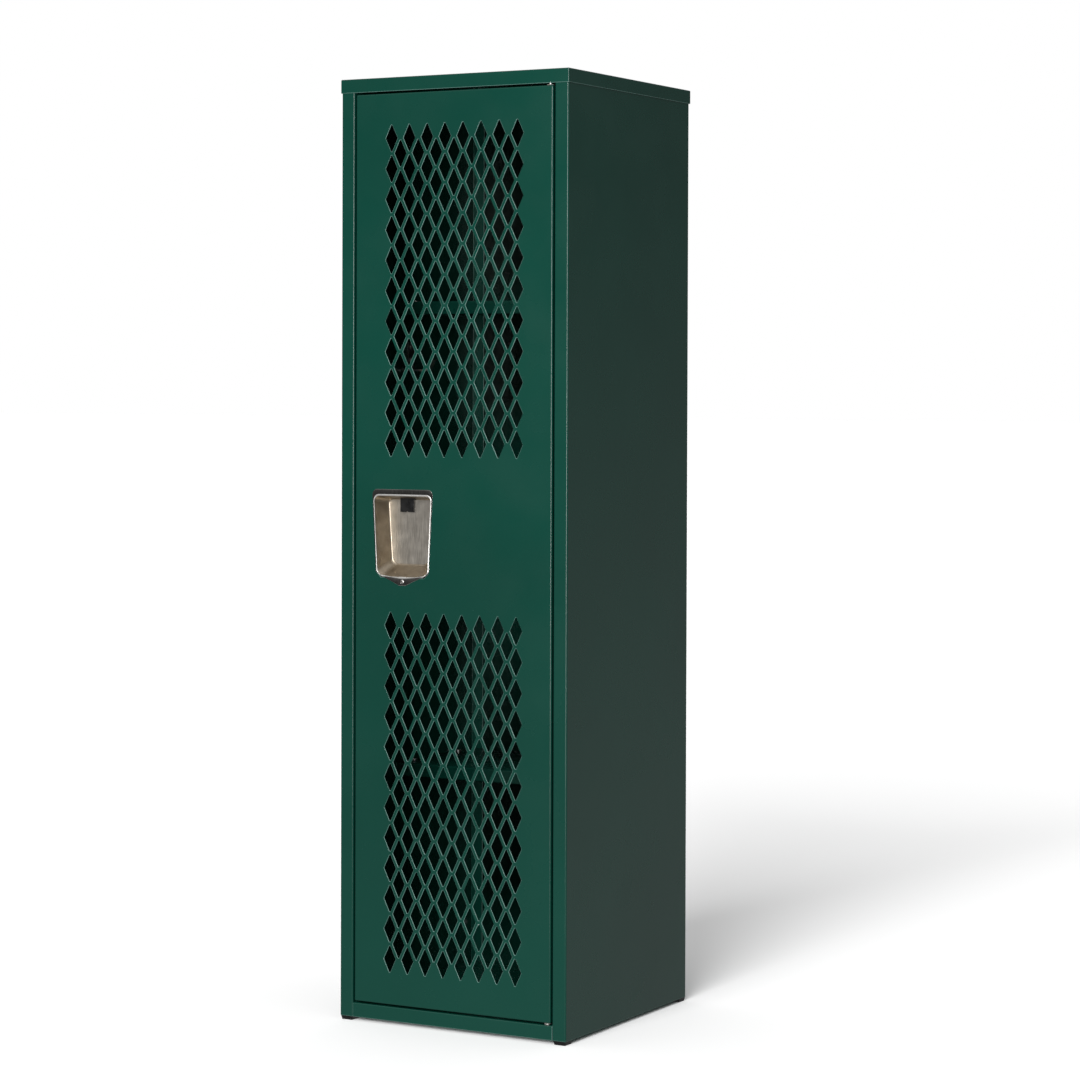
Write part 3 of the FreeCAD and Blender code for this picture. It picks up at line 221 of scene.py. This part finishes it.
def nylon():
    """Grey nylon, slightly waxy and see-through at thin edges."""
    resin = Finish("nylon", 0.46)
    resin.shader.inputs["Subsurface Weight"].default_value = 0.15
    resin.shader.inputs["Subsurface Scale"].default_value = 2.0 * MM
    flow = resin.noise(1.0, 4.0, resin.stretched(90, 90, 400))
    resin.give("Base Color", resin.mixed(flow, colour(128, 132, 126), colour(150, 152, 146)))
    resin.give("Roughness", resin.spread(flow, 0.4, 0.54, *NOISE_MIDDLE))
    resin.give("Normal", resin.bump(resin.noise(1500.0, 3.0), 0.03 * MM, 0.4))
    return resin.material


FINISHES = {
    "green_paint": green_paint("green_paint"),
    "stainless": satin_steel("stainless", colour(160, 148, 130), colour(192, 180, 162), 0.37),
    "bright_steel": bright_steel(),
    "zinc_steel": zinc_steel(),
    "black_plastic": black_plastic(),
    "rubber": rubber(),
    "nylon": nylon(),
}
# A paler paint on rounded edges, a painted highlight along folds and cut edges.
PAINTED_EDGE_HIGHLIGHT = green_paint("green_paint_painted_highlight", 1.0)
POLISHED_STEEL = satin_steel("polished_stainless", colour(150, 148, 145), colour(178, 176, 172), 0.16)
# Painted highlight: a near-white copy of the cup's steel for the bead and the lower lip, which stands in
# for the bright line along the bend.
BEAD_HIGHLIGHT_STEEL = satin_steel("bead_stainless_painted_highlight", colour(236, 234, 230), colour(248, 247, 244), 0.42)
SATIN_BACK = satin_steel("satin_stainless", colour(178, 172, 162), colour(206, 200, 190), 0.4)


# ---------------------------------------------------------------- carried CAD nodes

EDGE_ROUNDING = {
    "green_paint": 0.5 * MM,
    "stainless": 0.25 * MM,
    "bright_steel": 0.25 * MM,
    "zinc_steel": 0.25 * MM,
    "black_plastic": 0.5 * MM,
    "rubber": 0.5 * MM,
    "nylon": 0.35 * MM,
}
SHARP = math.radians(32)
NEARLY_FLAT = math.radians(0.4)
SAME_PLACE = 0.001 * MM


def finish_node(name, slot):
    """Gives a carried node its finish, and rounds its edges with modifiers that leave its mesh alone."""
    node = frame["nodes"][name]
    node.data.materials.clear()
    node.data.materials.append(FINISHES[slot])
    weld = node.modifiers.new("weld", "WELD")
    weld.merge_threshold = SAME_PLACE
    flat = node.modifiers.new("flat", "DECIMATE")
    flat.decimate_type = "DISSOLVE"
    flat.angle_limit = NEARLY_FLAT
    rounding = node.modifiers.new("rounding", "BEVEL")
    rounding.width = EDGE_ROUNDING[slot]
    rounding.segments = 3
    rounding.limit_method = "ANGLE"
    rounding.angle_limit = SHARP
    # Painted highlight: the rounded edges of painted parts get the paler edge paint.
    if slot == "green_paint":
        node.data.materials.append(PAINTED_EDGE_HIGHLIGHT)
        rounding.material = 1
        rounding.use_clamp_overlap = False
    shade = node.modifiers.new("shade", "WEIGHTED_NORMAL")
    shade.weight = 90
    node.data.shade_smooth()


for row in frame["record"]["subparts"]:
    finish_node(row["node"], row["material_slot"])


# ---------------------------------------------------------------- meshes drawn here

ARC_STEPS = 6


def rounded_outline(corners, extra):
    """Points along a polygon whose corners (x, z, radius) are arcs.

    extra lists the x of more points, which go on its first side.
    """
    count = len(corners)
    points = []
    for index, (x, z, radius) in enumerate(corners):
        here = Vector((x, z))
        before = (Vector(corners[index - 1][:2]) - here).normalized()
        after = (Vector(corners[(index + 1) % count][:2]) - here).normalized()
        half = before.angle(after) / 2
        reach = radius / math.tan(half)
        inward = Vector((-before.y, before.x))
        if inward.dot(after) < 0:
            inward = -inward
        start = here + before * reach
        middle = start + inward * radius
        spoke = start - middle
        sweep = math.pi - 2 * half
        if spoke.x * before.y - spoke.y * before.x < 0:
            sweep = -sweep
        for step in range(ARC_STEPS + 1):
            turn = -sweep * step / ARC_STEPS
            cosine, sine = math.cos(turn), math.sin(turn)
            across = Vector((cosine * spoke.x - sine * spoke.y, sine * spoke.x + cosine * spoke.y))
            points.append(middle + across)
        if index == 0:
            points += [Vector((place, points[-1].y)) for place in extra]
    return points


def mesh_piece(name, mesh, body, stands_for, materials):
    """A finished bmesh as a piece that rides on a body and stands for one CAD node."""
    data = bpy.data.meshes.new(name)
    bmesh.ops.recalc_face_normals(mesh, faces=mesh.faces)
    mesh.to_mesh(data)
    mesh.free()
    data.shade_smooth()
    for material in materials:
        data.materials.append(material)
    piece = bpy.data.objects.new(name, data)
    bpy.context.scene.collection.objects.link(piece)
    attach(piece, body)
    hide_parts(stands_for)
    return piece


WALLS, FLANGE, BACK, PAINTED_HIGHLIGHT = range(4)


class Cup:
    """The handle cup, drawn from one sheet: rolled flange, bead, sloping walls and back."""

    METAL = 1.0 * MM
    LIFT_BLADE = 3.4 * MM
    SLACK = 1.0 * MM
    POINT_HEIGHT = 18.4 * MM
    BAND = 10.0 * MM
    SIDE_BAND = 3.0 * MM
    FOOT_BAND = 12.9 * MM
    FLANGE_LIP = 1.2 * MM
    BEAD_WIDTH = 3.4 * MM
    BOTTOM_SHARE = 91 / 104
    POINT_SHARE = 11 / 104
    TOP_RADIUS = 8 * MM
    SHOULDER_RADIUS = 6 * MM
    FOOT_RADIUS = 12 * MM
    POINT_RADIUS = 3 * MM
    SIDE_LEAN = 10 * MM
    TOP_LEAN = 4 * MM
    FOOT_LEAN = 16 * MM
    FOOT_DIP = 0.02 * MM
    BEND = 2.6 * MM
    BEND_STEPS = 5
    BEND_INSET = 0.7 * BEND
    WALL_SINKS = (0.05, 0.25, 0.5)
    # Each pair is a share of the width, and how far the surface lies behind the cup's front in mm.
    ROLLED = ((0.0, 0.95), (0.08, 0.6), (0.3, 0.4), (0.6, 0.35), (0.95, 0.45))
    RAISED = ((0.95, 0.5), (0.78, 0.3), (0.58, 0.1), (0.36, 0.02), (0.16, 0.2), (0.04, 0.7))
    # Strips of faces are counted from the flange's edge.
    LIP_STRIPS = 2
    FIRST_BEAD_STRIP = len(ROLLED) + 1
    LAST_BEAD_STRIP = len(ROLLED) + len(RAISED) - 2
    FIRST_SLOT_STRIP = len(ROLLED) + len(RAISED) + len(WALL_SINKS)
    CREASE_INSET = 2 * MM
    CREASE_TOP = 38 * MM
    CREASE_REACH = 39 * MM
    CREASE_FOOT = 84 * MM
    CREASE_HALF = 0.8 * MM
    CREASE_RISE = 0.5 * MM

    def __init__(self):
        self.low, self.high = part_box("recess_cup")
        lift_low, lift_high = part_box("finger_lift")
        self.centre = (self.low.x + self.high.x) / 2
        self.half = (self.high.x - self.low.x) / 2
        self.depth = self.high.y - self.low.y - self.METAL
        self.shoulder = self.low.z + self.POINT_HEIGHT
        lift_centre = (lift_low.x + lift_high.x) / 2
        self.slot = [lift_low.x - self.SLACK, lift_centre, lift_high.x + self.SLACK]
        self.slot_front = lift_high.y - self.LIFT_BLADE - self.SLACK

    def outline(self, corners):
        """A rounded outline whose corners are given from the cup's centre line."""
        return rounded_outline([(self.centre + x, z, radius) for x, z, radius in corners], self.slot)

    def flange(self):
        """Outline of the flange, from its upper left, clockwise as seen from the front."""
        lower = self.BOTTOM_SHARE * self.half
        point = self.POINT_SHARE * self.half
        return self.outline([
            (-self.half, self.high.z, self.TOP_RADIUS),
            (self.half, self.high.z, self.TOP_RADIUS),
            (lower, self.shoulder, self.SHOULDER_RADIUS),
            (point, self.low.z, self.POINT_RADIUS),
            (-point, self.low.z, self.POINT_RADIUS),
            (-lower, self.shoulder, self.SHOULDER_RADIUS),
        ])

    def recess(self, sink, grow=0.0):
        """Outline of the recess: sink runs from 0 at the flange to 1 at the plane of the back."""
        slope = grow - sink * self.SIDE_LEAN
        top = self.high.z - self.BAND + grow - sink * self.TOP_LEAN
        foot = self.low.z + self.FOOT_BAND - grow + sink * self.FOOT_LEAN
        upper = self.half - self.SIDE_BAND + slope
        lower = self.half * self.BOTTOM_SHARE - self.SIDE_BAND + slope
        point = self.half * self.POINT_SHARE
        return self.outline([
            (-upper, top, self.TOP_RADIUS + grow),
            (upper, top, self.TOP_RADIUS + grow),
            (lower, foot, self.FOOT_RADIUS + grow),
            (point, foot - self.FOOT_DIP, self.POINT_RADIUS),
            (-point, foot - self.FOOT_DIP, self.POINT_RADIUS),
            (-lower, foot, self.FOOT_RADIUS + grow),
        ])

    def between(self, start, stop, share, widest):
        """Points from start towards stop: share of widest, or of what the narrow sides have."""
        made = []
        for a, b in zip(start, stop):
            way = b - a
            room = min(widest, way.length * widest / (self.FLANGE_LIP + self.BEAD_WIDTH))
            made.append(a + way.normalized() * room * share)
        return made

    def rings(self):
        """(points, y) of each ring of the sheet's front surface, from the flange's edge to the middle."""
        outer, inner = self.flange(), self.recess(0.0)
        face = self.low.y
        made = []
        for share, rise in self.ROLLED:
            made.append((self.between(outer, inner, share, self.FLANGE_LIP), face + rise * MM))
        for share, rise in self.RAISED:
            made.append((self.between(inner, outer, share, self.BEAD_WIDTH), face + rise * MM))
        straight = 1 - self.BEND / self.depth
        slot_sink = (self.slot_front - face) / self.depth
        for sink in (*self.WALL_SINKS, slot_sink, straight):
            made.append((self.recess(sink), face + sink * self.depth))
        for step in range(1, self.BEND_STEPS + 1):
            turn = step / self.BEND_STEPS * math.pi / 2
            sink = straight + (1 - straight) * math.sin(turn)
            inset = self.BEND_INSET * (1 - math.cos(turn))
            made.append((self.recess(sink, -inset), face + sink * self.depth))
        return made

    def strip_finish(self, strip, height):
        """Index of a face's finish; the bead, and the lip below the shoulder, get the painted highlight.
        """
        if strip > self.LAST_BEAD_STRIP:
            return WALLS
        lip_highlight = strip < self.LIP_STRIPS and height < self.shoulder
        return PAINTED_HIGHLIGHT if strip >= self.FIRST_BEAD_STRIP or lip_highlight else FLANGE

    def mesh(self):
        mesh = bmesh.new()
        rows = []
        for points, y in self.rings():
            rows.append([mesh.verts.new((point.x, y, point.y)) for point in points])
        count = len(rows[0])
        slot_columns = range(ARC_STEPS + 1, ARC_STEPS + 3)
        for strip, (row, following) in enumerate(zip(rows, rows[1:])):
            for column in range(count):
                if column in slot_columns and strip >= self.FIRST_SLOT_STRIP:
                    continue
                after = (column + 1) % count
                face = mesh.faces.new((row[column], row[after], following[after], following[column]))
                face.material_index = self.strip_finish(strip, row[column].co.z)
        back = mesh.faces.new(rows[-1])
        back.material_index = BACK
        self.crease(mesh)
        return mesh

    def crease(self, mesh):
        """A faint fold across the back, from under the finger lift to the right-hand side."""
        start = Vector((self.slot[2] - self.CREASE_INSET, 0, self.high.z - self.CREASE_TOP))
        stop = Vector((self.centre + self.CREASE_REACH, 0, self.high.z - self.CREASE_FOOT))
        along = (stop - start).normalized()
        across = Vector((-along.z, 0, along.x))
        back = [face for face in mesh.faces if face.material_index == BACK]
        edges = [edge for face in back for edge in face.edges]
        parts = back + edges + [vertex for face in back for vertex in face.verts]
        for offset in (-self.CREASE_HALF, 0.0, self.CREASE_HALF):
            cut = bmesh.ops.bisect_plane(
                mesh, geom=list(set(parts)), dist=1e-7, plane_co=start + across * offset, plane_no=across
            )
            parts = [part for part in cut["geom"] if part.is_valid]
            if offset == 0.0:
                ridge = [part for part in cut["geom_cut"] if isinstance(part, bmesh.types.BMVert)]
        for vertex in ridge:
            past_start = (vertex.co - start).dot(along) > 0
            if past_start and all(face.material_index == BACK for face in vertex.link_faces):
                vertex.co.y -= self.CREASE_RISE


# Thickness of the drawn sheet, as a share of the CAD one's.
SHEET_SHARE = 0.9


def draw_cup():
    cup = Cup()
    # The fourth finish is the painted highlight on the bead and the lower lip.
    finishes = (FINISHES["stainless"], POLISHED_STEEL, SATIN_BACK, BEAD_HIGHLIGHT_STEEL)
    piece = mesh_piece("drawn_cup", cup.mesh(), "door", "recess_cup", finishes)
    metal = piece.modifiers.new("metal", "SOLIDIFY")
    metal.thickness = Cup.METAL * SHEET_SHARE
    metal.offset = -1.0
    shade = piece.modifiers.new("shade", "WEIGHTED_NORMAL")
    shade.weight = 60
    shade.keep_sharp = True


SCREW_SIDES = 32
SCREW_HEAD = 0.9 * MM
SCREW_SHANK = 2.0 * MM
SCREW_NECK = 0.05 * MM
THREAD_DEPTH = 0.25 * MM
THREAD_PITCH = 0.8 * MM
DOME_ANGLES = (0, 0.35, 0.7, 1.0, 1.25, 1.45, math.pi / 2)
CROSS_LONG = 0.62
CROSS_SHORT = 0.16
CROSS_DEPTH = 0.7


def screw_profile(low, high, radius):
    """(radius, y) along the screw, from the middle of its dome to the end of its thread."""
    seat = low.y + SCREW_HEAD
    profile = [(radius * math.sin(angle), seat - SCREW_HEAD * math.cos(angle)) for angle in DOME_ANGLES]
    profile.append((SCREW_SHANK, seat + SCREW_NECK))
    root = SCREW_SHANK - THREAD_DEPTH
    for turn in range(int((high.y - seat) / THREAD_PITCH)):
        start = seat + (turn + 0.5) * THREAD_PITCH
        profile += [(SCREW_SHANK, start), (root, start + THREAD_PITCH / 2)]
    return profile + [(root, high.y), (0.0, high.y)]


def turned(profile, centre):
    """A bmesh of a profile turned about the line along y through centre."""
    mesh = bmesh.new()
    rings = []
    for reach, y in profile:
        if reach == 0.0:
            rings.append([mesh.verts.new((centre.x, y, centre.z))])
            continue
        ring = []
        for side in range(SCREW_SIDES):
            angle = 2 * math.pi * side / SCREW_SIDES
            x, z = centre.x + reach * math.cos(angle), centre.z + reach * math.sin(angle)
            ring.append(mesh.verts.new((x, y, z)))
        rings.append(ring)
    for ring, following in zip(rings, rings[1:]):
        for side in range(SCREW_SIDES):
            after = (side + 1) % SCREW_SIDES
            if len(ring) == 1:
                mesh.faces.new((ring[0], following[side], following[after]))
            elif len(following) == 1:
                mesh.faces.new((ring[side], ring[after], following[0]))
            else:
                mesh.faces.new((ring[side], ring[after], following[after], following[side]))
    return mesh


def cross_cutter(centre, front, radius):
    """An object shaped like the cross that a driver fits, standing in the front of a screw's head."""
    cross = bmesh.new()
    for wide, tall in ((CROSS_LONG, CROSS_SHORT), (CROSS_SHORT, CROSS_LONG)):
        made = bmesh.ops.create_cube(cross, size=2.0)["verts"]
        scale = Matrix.Diagonal((radius * wide, SCREW_HEAD * CROSS_DEPTH, radius * tall, 1.0))
        place = Matrix.Translation((centre.x, front, centre.z))
        bmesh.ops.transform(cross, matrix=place @ scale, verts=made)
    data = bpy.data.meshes.new("cross")
    cross.to_mesh(data)
    cross.free()
    cutter = bpy.data.objects.new("cross", data)
    bpy.context.scene.collection.objects.link(cutter)
    return cutter


def draw_cup_screw():
    """A truss-head screw with a cross recess and a threaded shank."""
    low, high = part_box("cup_screw")
    centre = Vector(((low.x + high.x) / 2, 0, (low.z + high.z) / 2))
    radius = (high.x - low.x) / 2
    mesh = turned(screw_profile(low, high, radius), centre)
    steel = FINISHES["bright_steel"]
    piece = mesh_piece("drawn_cup_screw", mesh, "door", "cup_screw", [steel])
    cutter = cross_cutter(centre, low.y, radius)
    cut = piece.modifiers.new("cross", "BOOLEAN")
    cut.object = cutter
    cut.use_self = True
    evaluated = piece.evaluated_get(bpy.context.evaluated_depsgraph_get())
    data = bpy.data.meshes.new_from_object(evaluated)
    piece.modifiers.clear()
    piece.data = data
    bpy.data.objects.remove(cutter)


draw_cup()
draw_cup_screw()


# ---------------------------------------------------------------- camera, light and floor

CAMERA_YAW = math.radians(29.3287)
CAMERA_PITCH = math.radians(0.8387)
CAMERA_ROLL = math.radians(0.17885)
CAMERA_PLACE = (2.27066, -3.97316, 0.92686)
CAMERA_LENS = 102.457
CAMERA_RISE = -0.0984


def heading(yaw, rise):
    """Unit vector that points away from the front by yaw, and up by rise."""
    return Vector((-math.sin(yaw) * math.cos(rise), math.cos(yaw) * math.cos(rise), math.sin(rise)))


def pose_camera():
    """In front of the locker and to the right, looking almost level, with a slightly shifted lens."""
    forward = heading(CAMERA_YAW, -CAMERA_PITCH)
    level = Vector((math.cos(CAMERA_YAW), math.sin(CAMERA_YAW), 0.0))
    upright = level.cross(forward)
    right = math.cos(CAMERA_ROLL) * level + math.sin(CAMERA_ROLL) * upright
    up = math.cos(CAMERA_ROLL) * upright - math.sin(CAMERA_ROLL) * level
    data = bpy.data.cameras.new("camera")
    data.lens = CAMERA_LENS
    data.sensor_width = 36.0
    data.shift_y = CAMERA_RISE
    data.clip_end = 200.0
    camera = bpy.data.objects.new("camera", data)
    turn = Matrix((right, up, -forward)).transposed().to_4x4()
    camera.matrix_world = Matrix.Translation(CAMERA_PLACE) @ turn
    bpy.context.scene.collection.objects.link(camera)
    bpy.context.scene.camera = camera


FLOOR_HALF = 80.0
FLOOR_GREY = 0.95


def studio_floor():
    """A wide pale floor, which throws no light back on the locker."""
    mesh = bmesh.new()
    bmesh.ops.create_grid(mesh, x_segments=1, y_segments=1, size=FLOOR_HALF)
    data = bpy.data.meshes.new("studio_floor")
    mesh.to_mesh(data)
    mesh.free()
    floor = bpy.data.objects.new("studio_floor", data)
    bpy.context.scene.collection.objects.link(floor)
    pale = Finish("studio_floor", 0.9, specular=0.1)
    pale.shader.inputs["Base Color"].default_value = (FLOOR_GREY, FLOOR_GREY, FLOOR_GREY, 1.0)
    data.materials.append(pale.material)
    floor.visible_diffuse = False
    floor.visible_glossy = False


INNER_NODES = ["back_panel", "shelf_upper", "shelf_lower"]


def receivers(name, objects, state):
    """A collection that makes a lamp light only these objects, or all but these."""
    made = bpy.data.collections.new(name)
    for item in objects:
        made.objects.link(item)
    for member in made.collection_objects:
        member.light_linking.link_state = state
    return made


AIM_HEIGHT = 0.85


def soft_box(name, size, energy, around, distance, rise):
    """A rectangular lamp: around is its angle from straight in front, towards the right."""
    data = bpy.data.lights.new(name, "AREA")
    data.shape = "RECTANGLE"
    data.size, data.size_y = size
    data.energy = energy
    lamp = bpy.data.objects.new(name, data)
    around = math.radians(around)
    target = Vector((0.0, cad_low.y, AIM_HEIGHT))
    place = Vector((distance * math.sin(around), cad_low.y - distance * math.cos(around), rise))
    lamp.location = place
    lamp.rotation_mode = "QUATERNION"
    lamp.rotation_quaternion = (place - target).to_track_quat("Z", "Y")
    bpy.context.scene.collection.objects.link(lamp)
    return lamp


def key_lights():
    """A tall soft box for all but the back, shelves and floor; a higher one for the back and shelves."""
    inside = [frame["nodes"][name] for name in INNER_NODES]
    not_lit = inside + [bpy.data.objects["studio_floor"]]
    tall = soft_box("key", size=(1.0, 2.3), energy=95.0, around=12.0, distance=3.0, rise=1.25)
    tall.light_linking.receiver_collection = receivers("outside", not_lit, "EXCLUDE")
    high = soft_box("high_key", size=(1.0, 1.0), energy=60.0, around=6.0, distance=2.2, rise=2.9)
    high.light_linking.receiver_collection = receivers("inside", inside, "INCLUDE")


SUN_STRENGTH = 5.3
SUN_WIDTH = math.radians(32)
SUN_AROUND = math.radians(8)
SUN_HEIGHT = math.radians(21.5)


def floor_light():
    """Low, soft light on the floor, which lays the locker's long shadow behind it."""
    data = bpy.data.lights.new("floor_light", "SUN")
    data.energy = SUN_STRENGTH
    data.angle = SUN_WIDTH
    lamp = bpy.data.objects.new("floor_light", data)
    source = -heading(SUN_AROUND, -SUN_HEIGHT)
    lamp.rotation_mode = "QUATERNION"
    lamp.rotation_quaternion = source.to_track_quat("Z", "Y")
    bpy.context.scene.collection.objects.link(lamp)
    floor = [bpy.data.objects["studio_floor"]]
    lamp.light_linking.receiver_collection = receivers("floor_only", floor, "INCLUDE")


# Pairs of a direction's z and the grey there.
FRONT_LEVELS = ((-1.0, 0.26), (-0.2, 0.26), (-0.03, 0.04), (0.1, 0.04), (0.5, 0.45), (1.0, 0.8))
REAR_LEVELS = ((-1.0, 0.26), (-0.2, 0.36), (-0.02, 0.22), (0.08, 0.09), (0.5, 0.45), (1.0, 0.8))
FRONT_ENDS, REAR_STARTS = -0.3, 0.5


def brightness_by_height(tree, share, levels):
    """A grey ramp over the height of a direction, which share gives from 0 to 1."""
    ramp = tree.nodes.new("ShaderNodeValToRGB")
    stops = ramp.color_ramp.elements
    while len(stops) < len(levels):
        stops.new(0.5)
    for stop, (rise, level) in zip(stops, levels):
        stop.position = (rise + 1) / 2
        stop.color = (level, level, level, 1.0)
    tree.links.new(share, ramp.inputs["Fac"])
    return ramp.outputs["Color"]


def surroundings():
    """White behind the locker; what lights it is dim at the horizon, brighter overhead and below."""
    world = bpy.data.worlds.new("studio")
    world.use_nodes = True
    bpy.context.scene.world = world
    tree = world.node_tree
    tree.nodes.clear()
    direction = tree.nodes.new("ShaderNodeTexCoord").outputs["Generated"]
    parts = tree.nodes.new("ShaderNodeSeparateXYZ")
    tree.links.new(direction, parts.inputs[0])
    share = tree.nodes.new("ShaderNodeMapRange")
    share.inputs["From Min"].default_value = -1.0
    tree.links.new(parts.outputs["Z"], share.inputs["Value"])
    height = share.outputs["Result"]
    mixed = tree.nodes.new("ShaderNodeMix")
    mixed.data_type = "RGBA"
    rearward = tree.nodes.new("ShaderNodeMapRange")
    rearward.inputs["From Min"].default_value = FRONT_ENDS
    rearward.inputs["From Max"].default_value = REAR_STARTS
    tree.links.new(parts.outputs["Y"], rearward.inputs["Value"])
    tree.links.new(rearward.outputs["Result"], mixed.inputs[0])
    tree.links.new(brightness_by_height(tree, height, FRONT_LEVELS), mixed.inputs[6])
    tree.links.new(brightness_by_height(tree, height, REAR_LEVELS), mixed.inputs[7])
    room = tree.nodes.new("ShaderNodeBackground")
    tree.links.new(mixed.outputs[2], room.inputs["Color"])
    backdrop = tree.nodes.new("ShaderNodeBackground")
    backdrop.inputs["Color"].default_value = (1.0, 1.0, 1.0, 1.0)
    seen = tree.nodes.new("ShaderNodeLightPath").outputs["Is Camera Ray"]
    both = tree.nodes.new("ShaderNodeMixShader")
    tree.links.new(seen, both.inputs[0])
    tree.links.new(room.outputs[0], both.inputs[1])
    tree.links.new(backdrop.outputs[0], both.inputs[2])
    output = tree.nodes.new("ShaderNodeOutputWorld")
    tree.links.new(both.outputs[0], output.inputs["Surface"])


pose_camera()
studio_floor()
key_lights()
floor_light()
surroundings()
bpy.context.scene.view_settings.view_transform = "Standard"
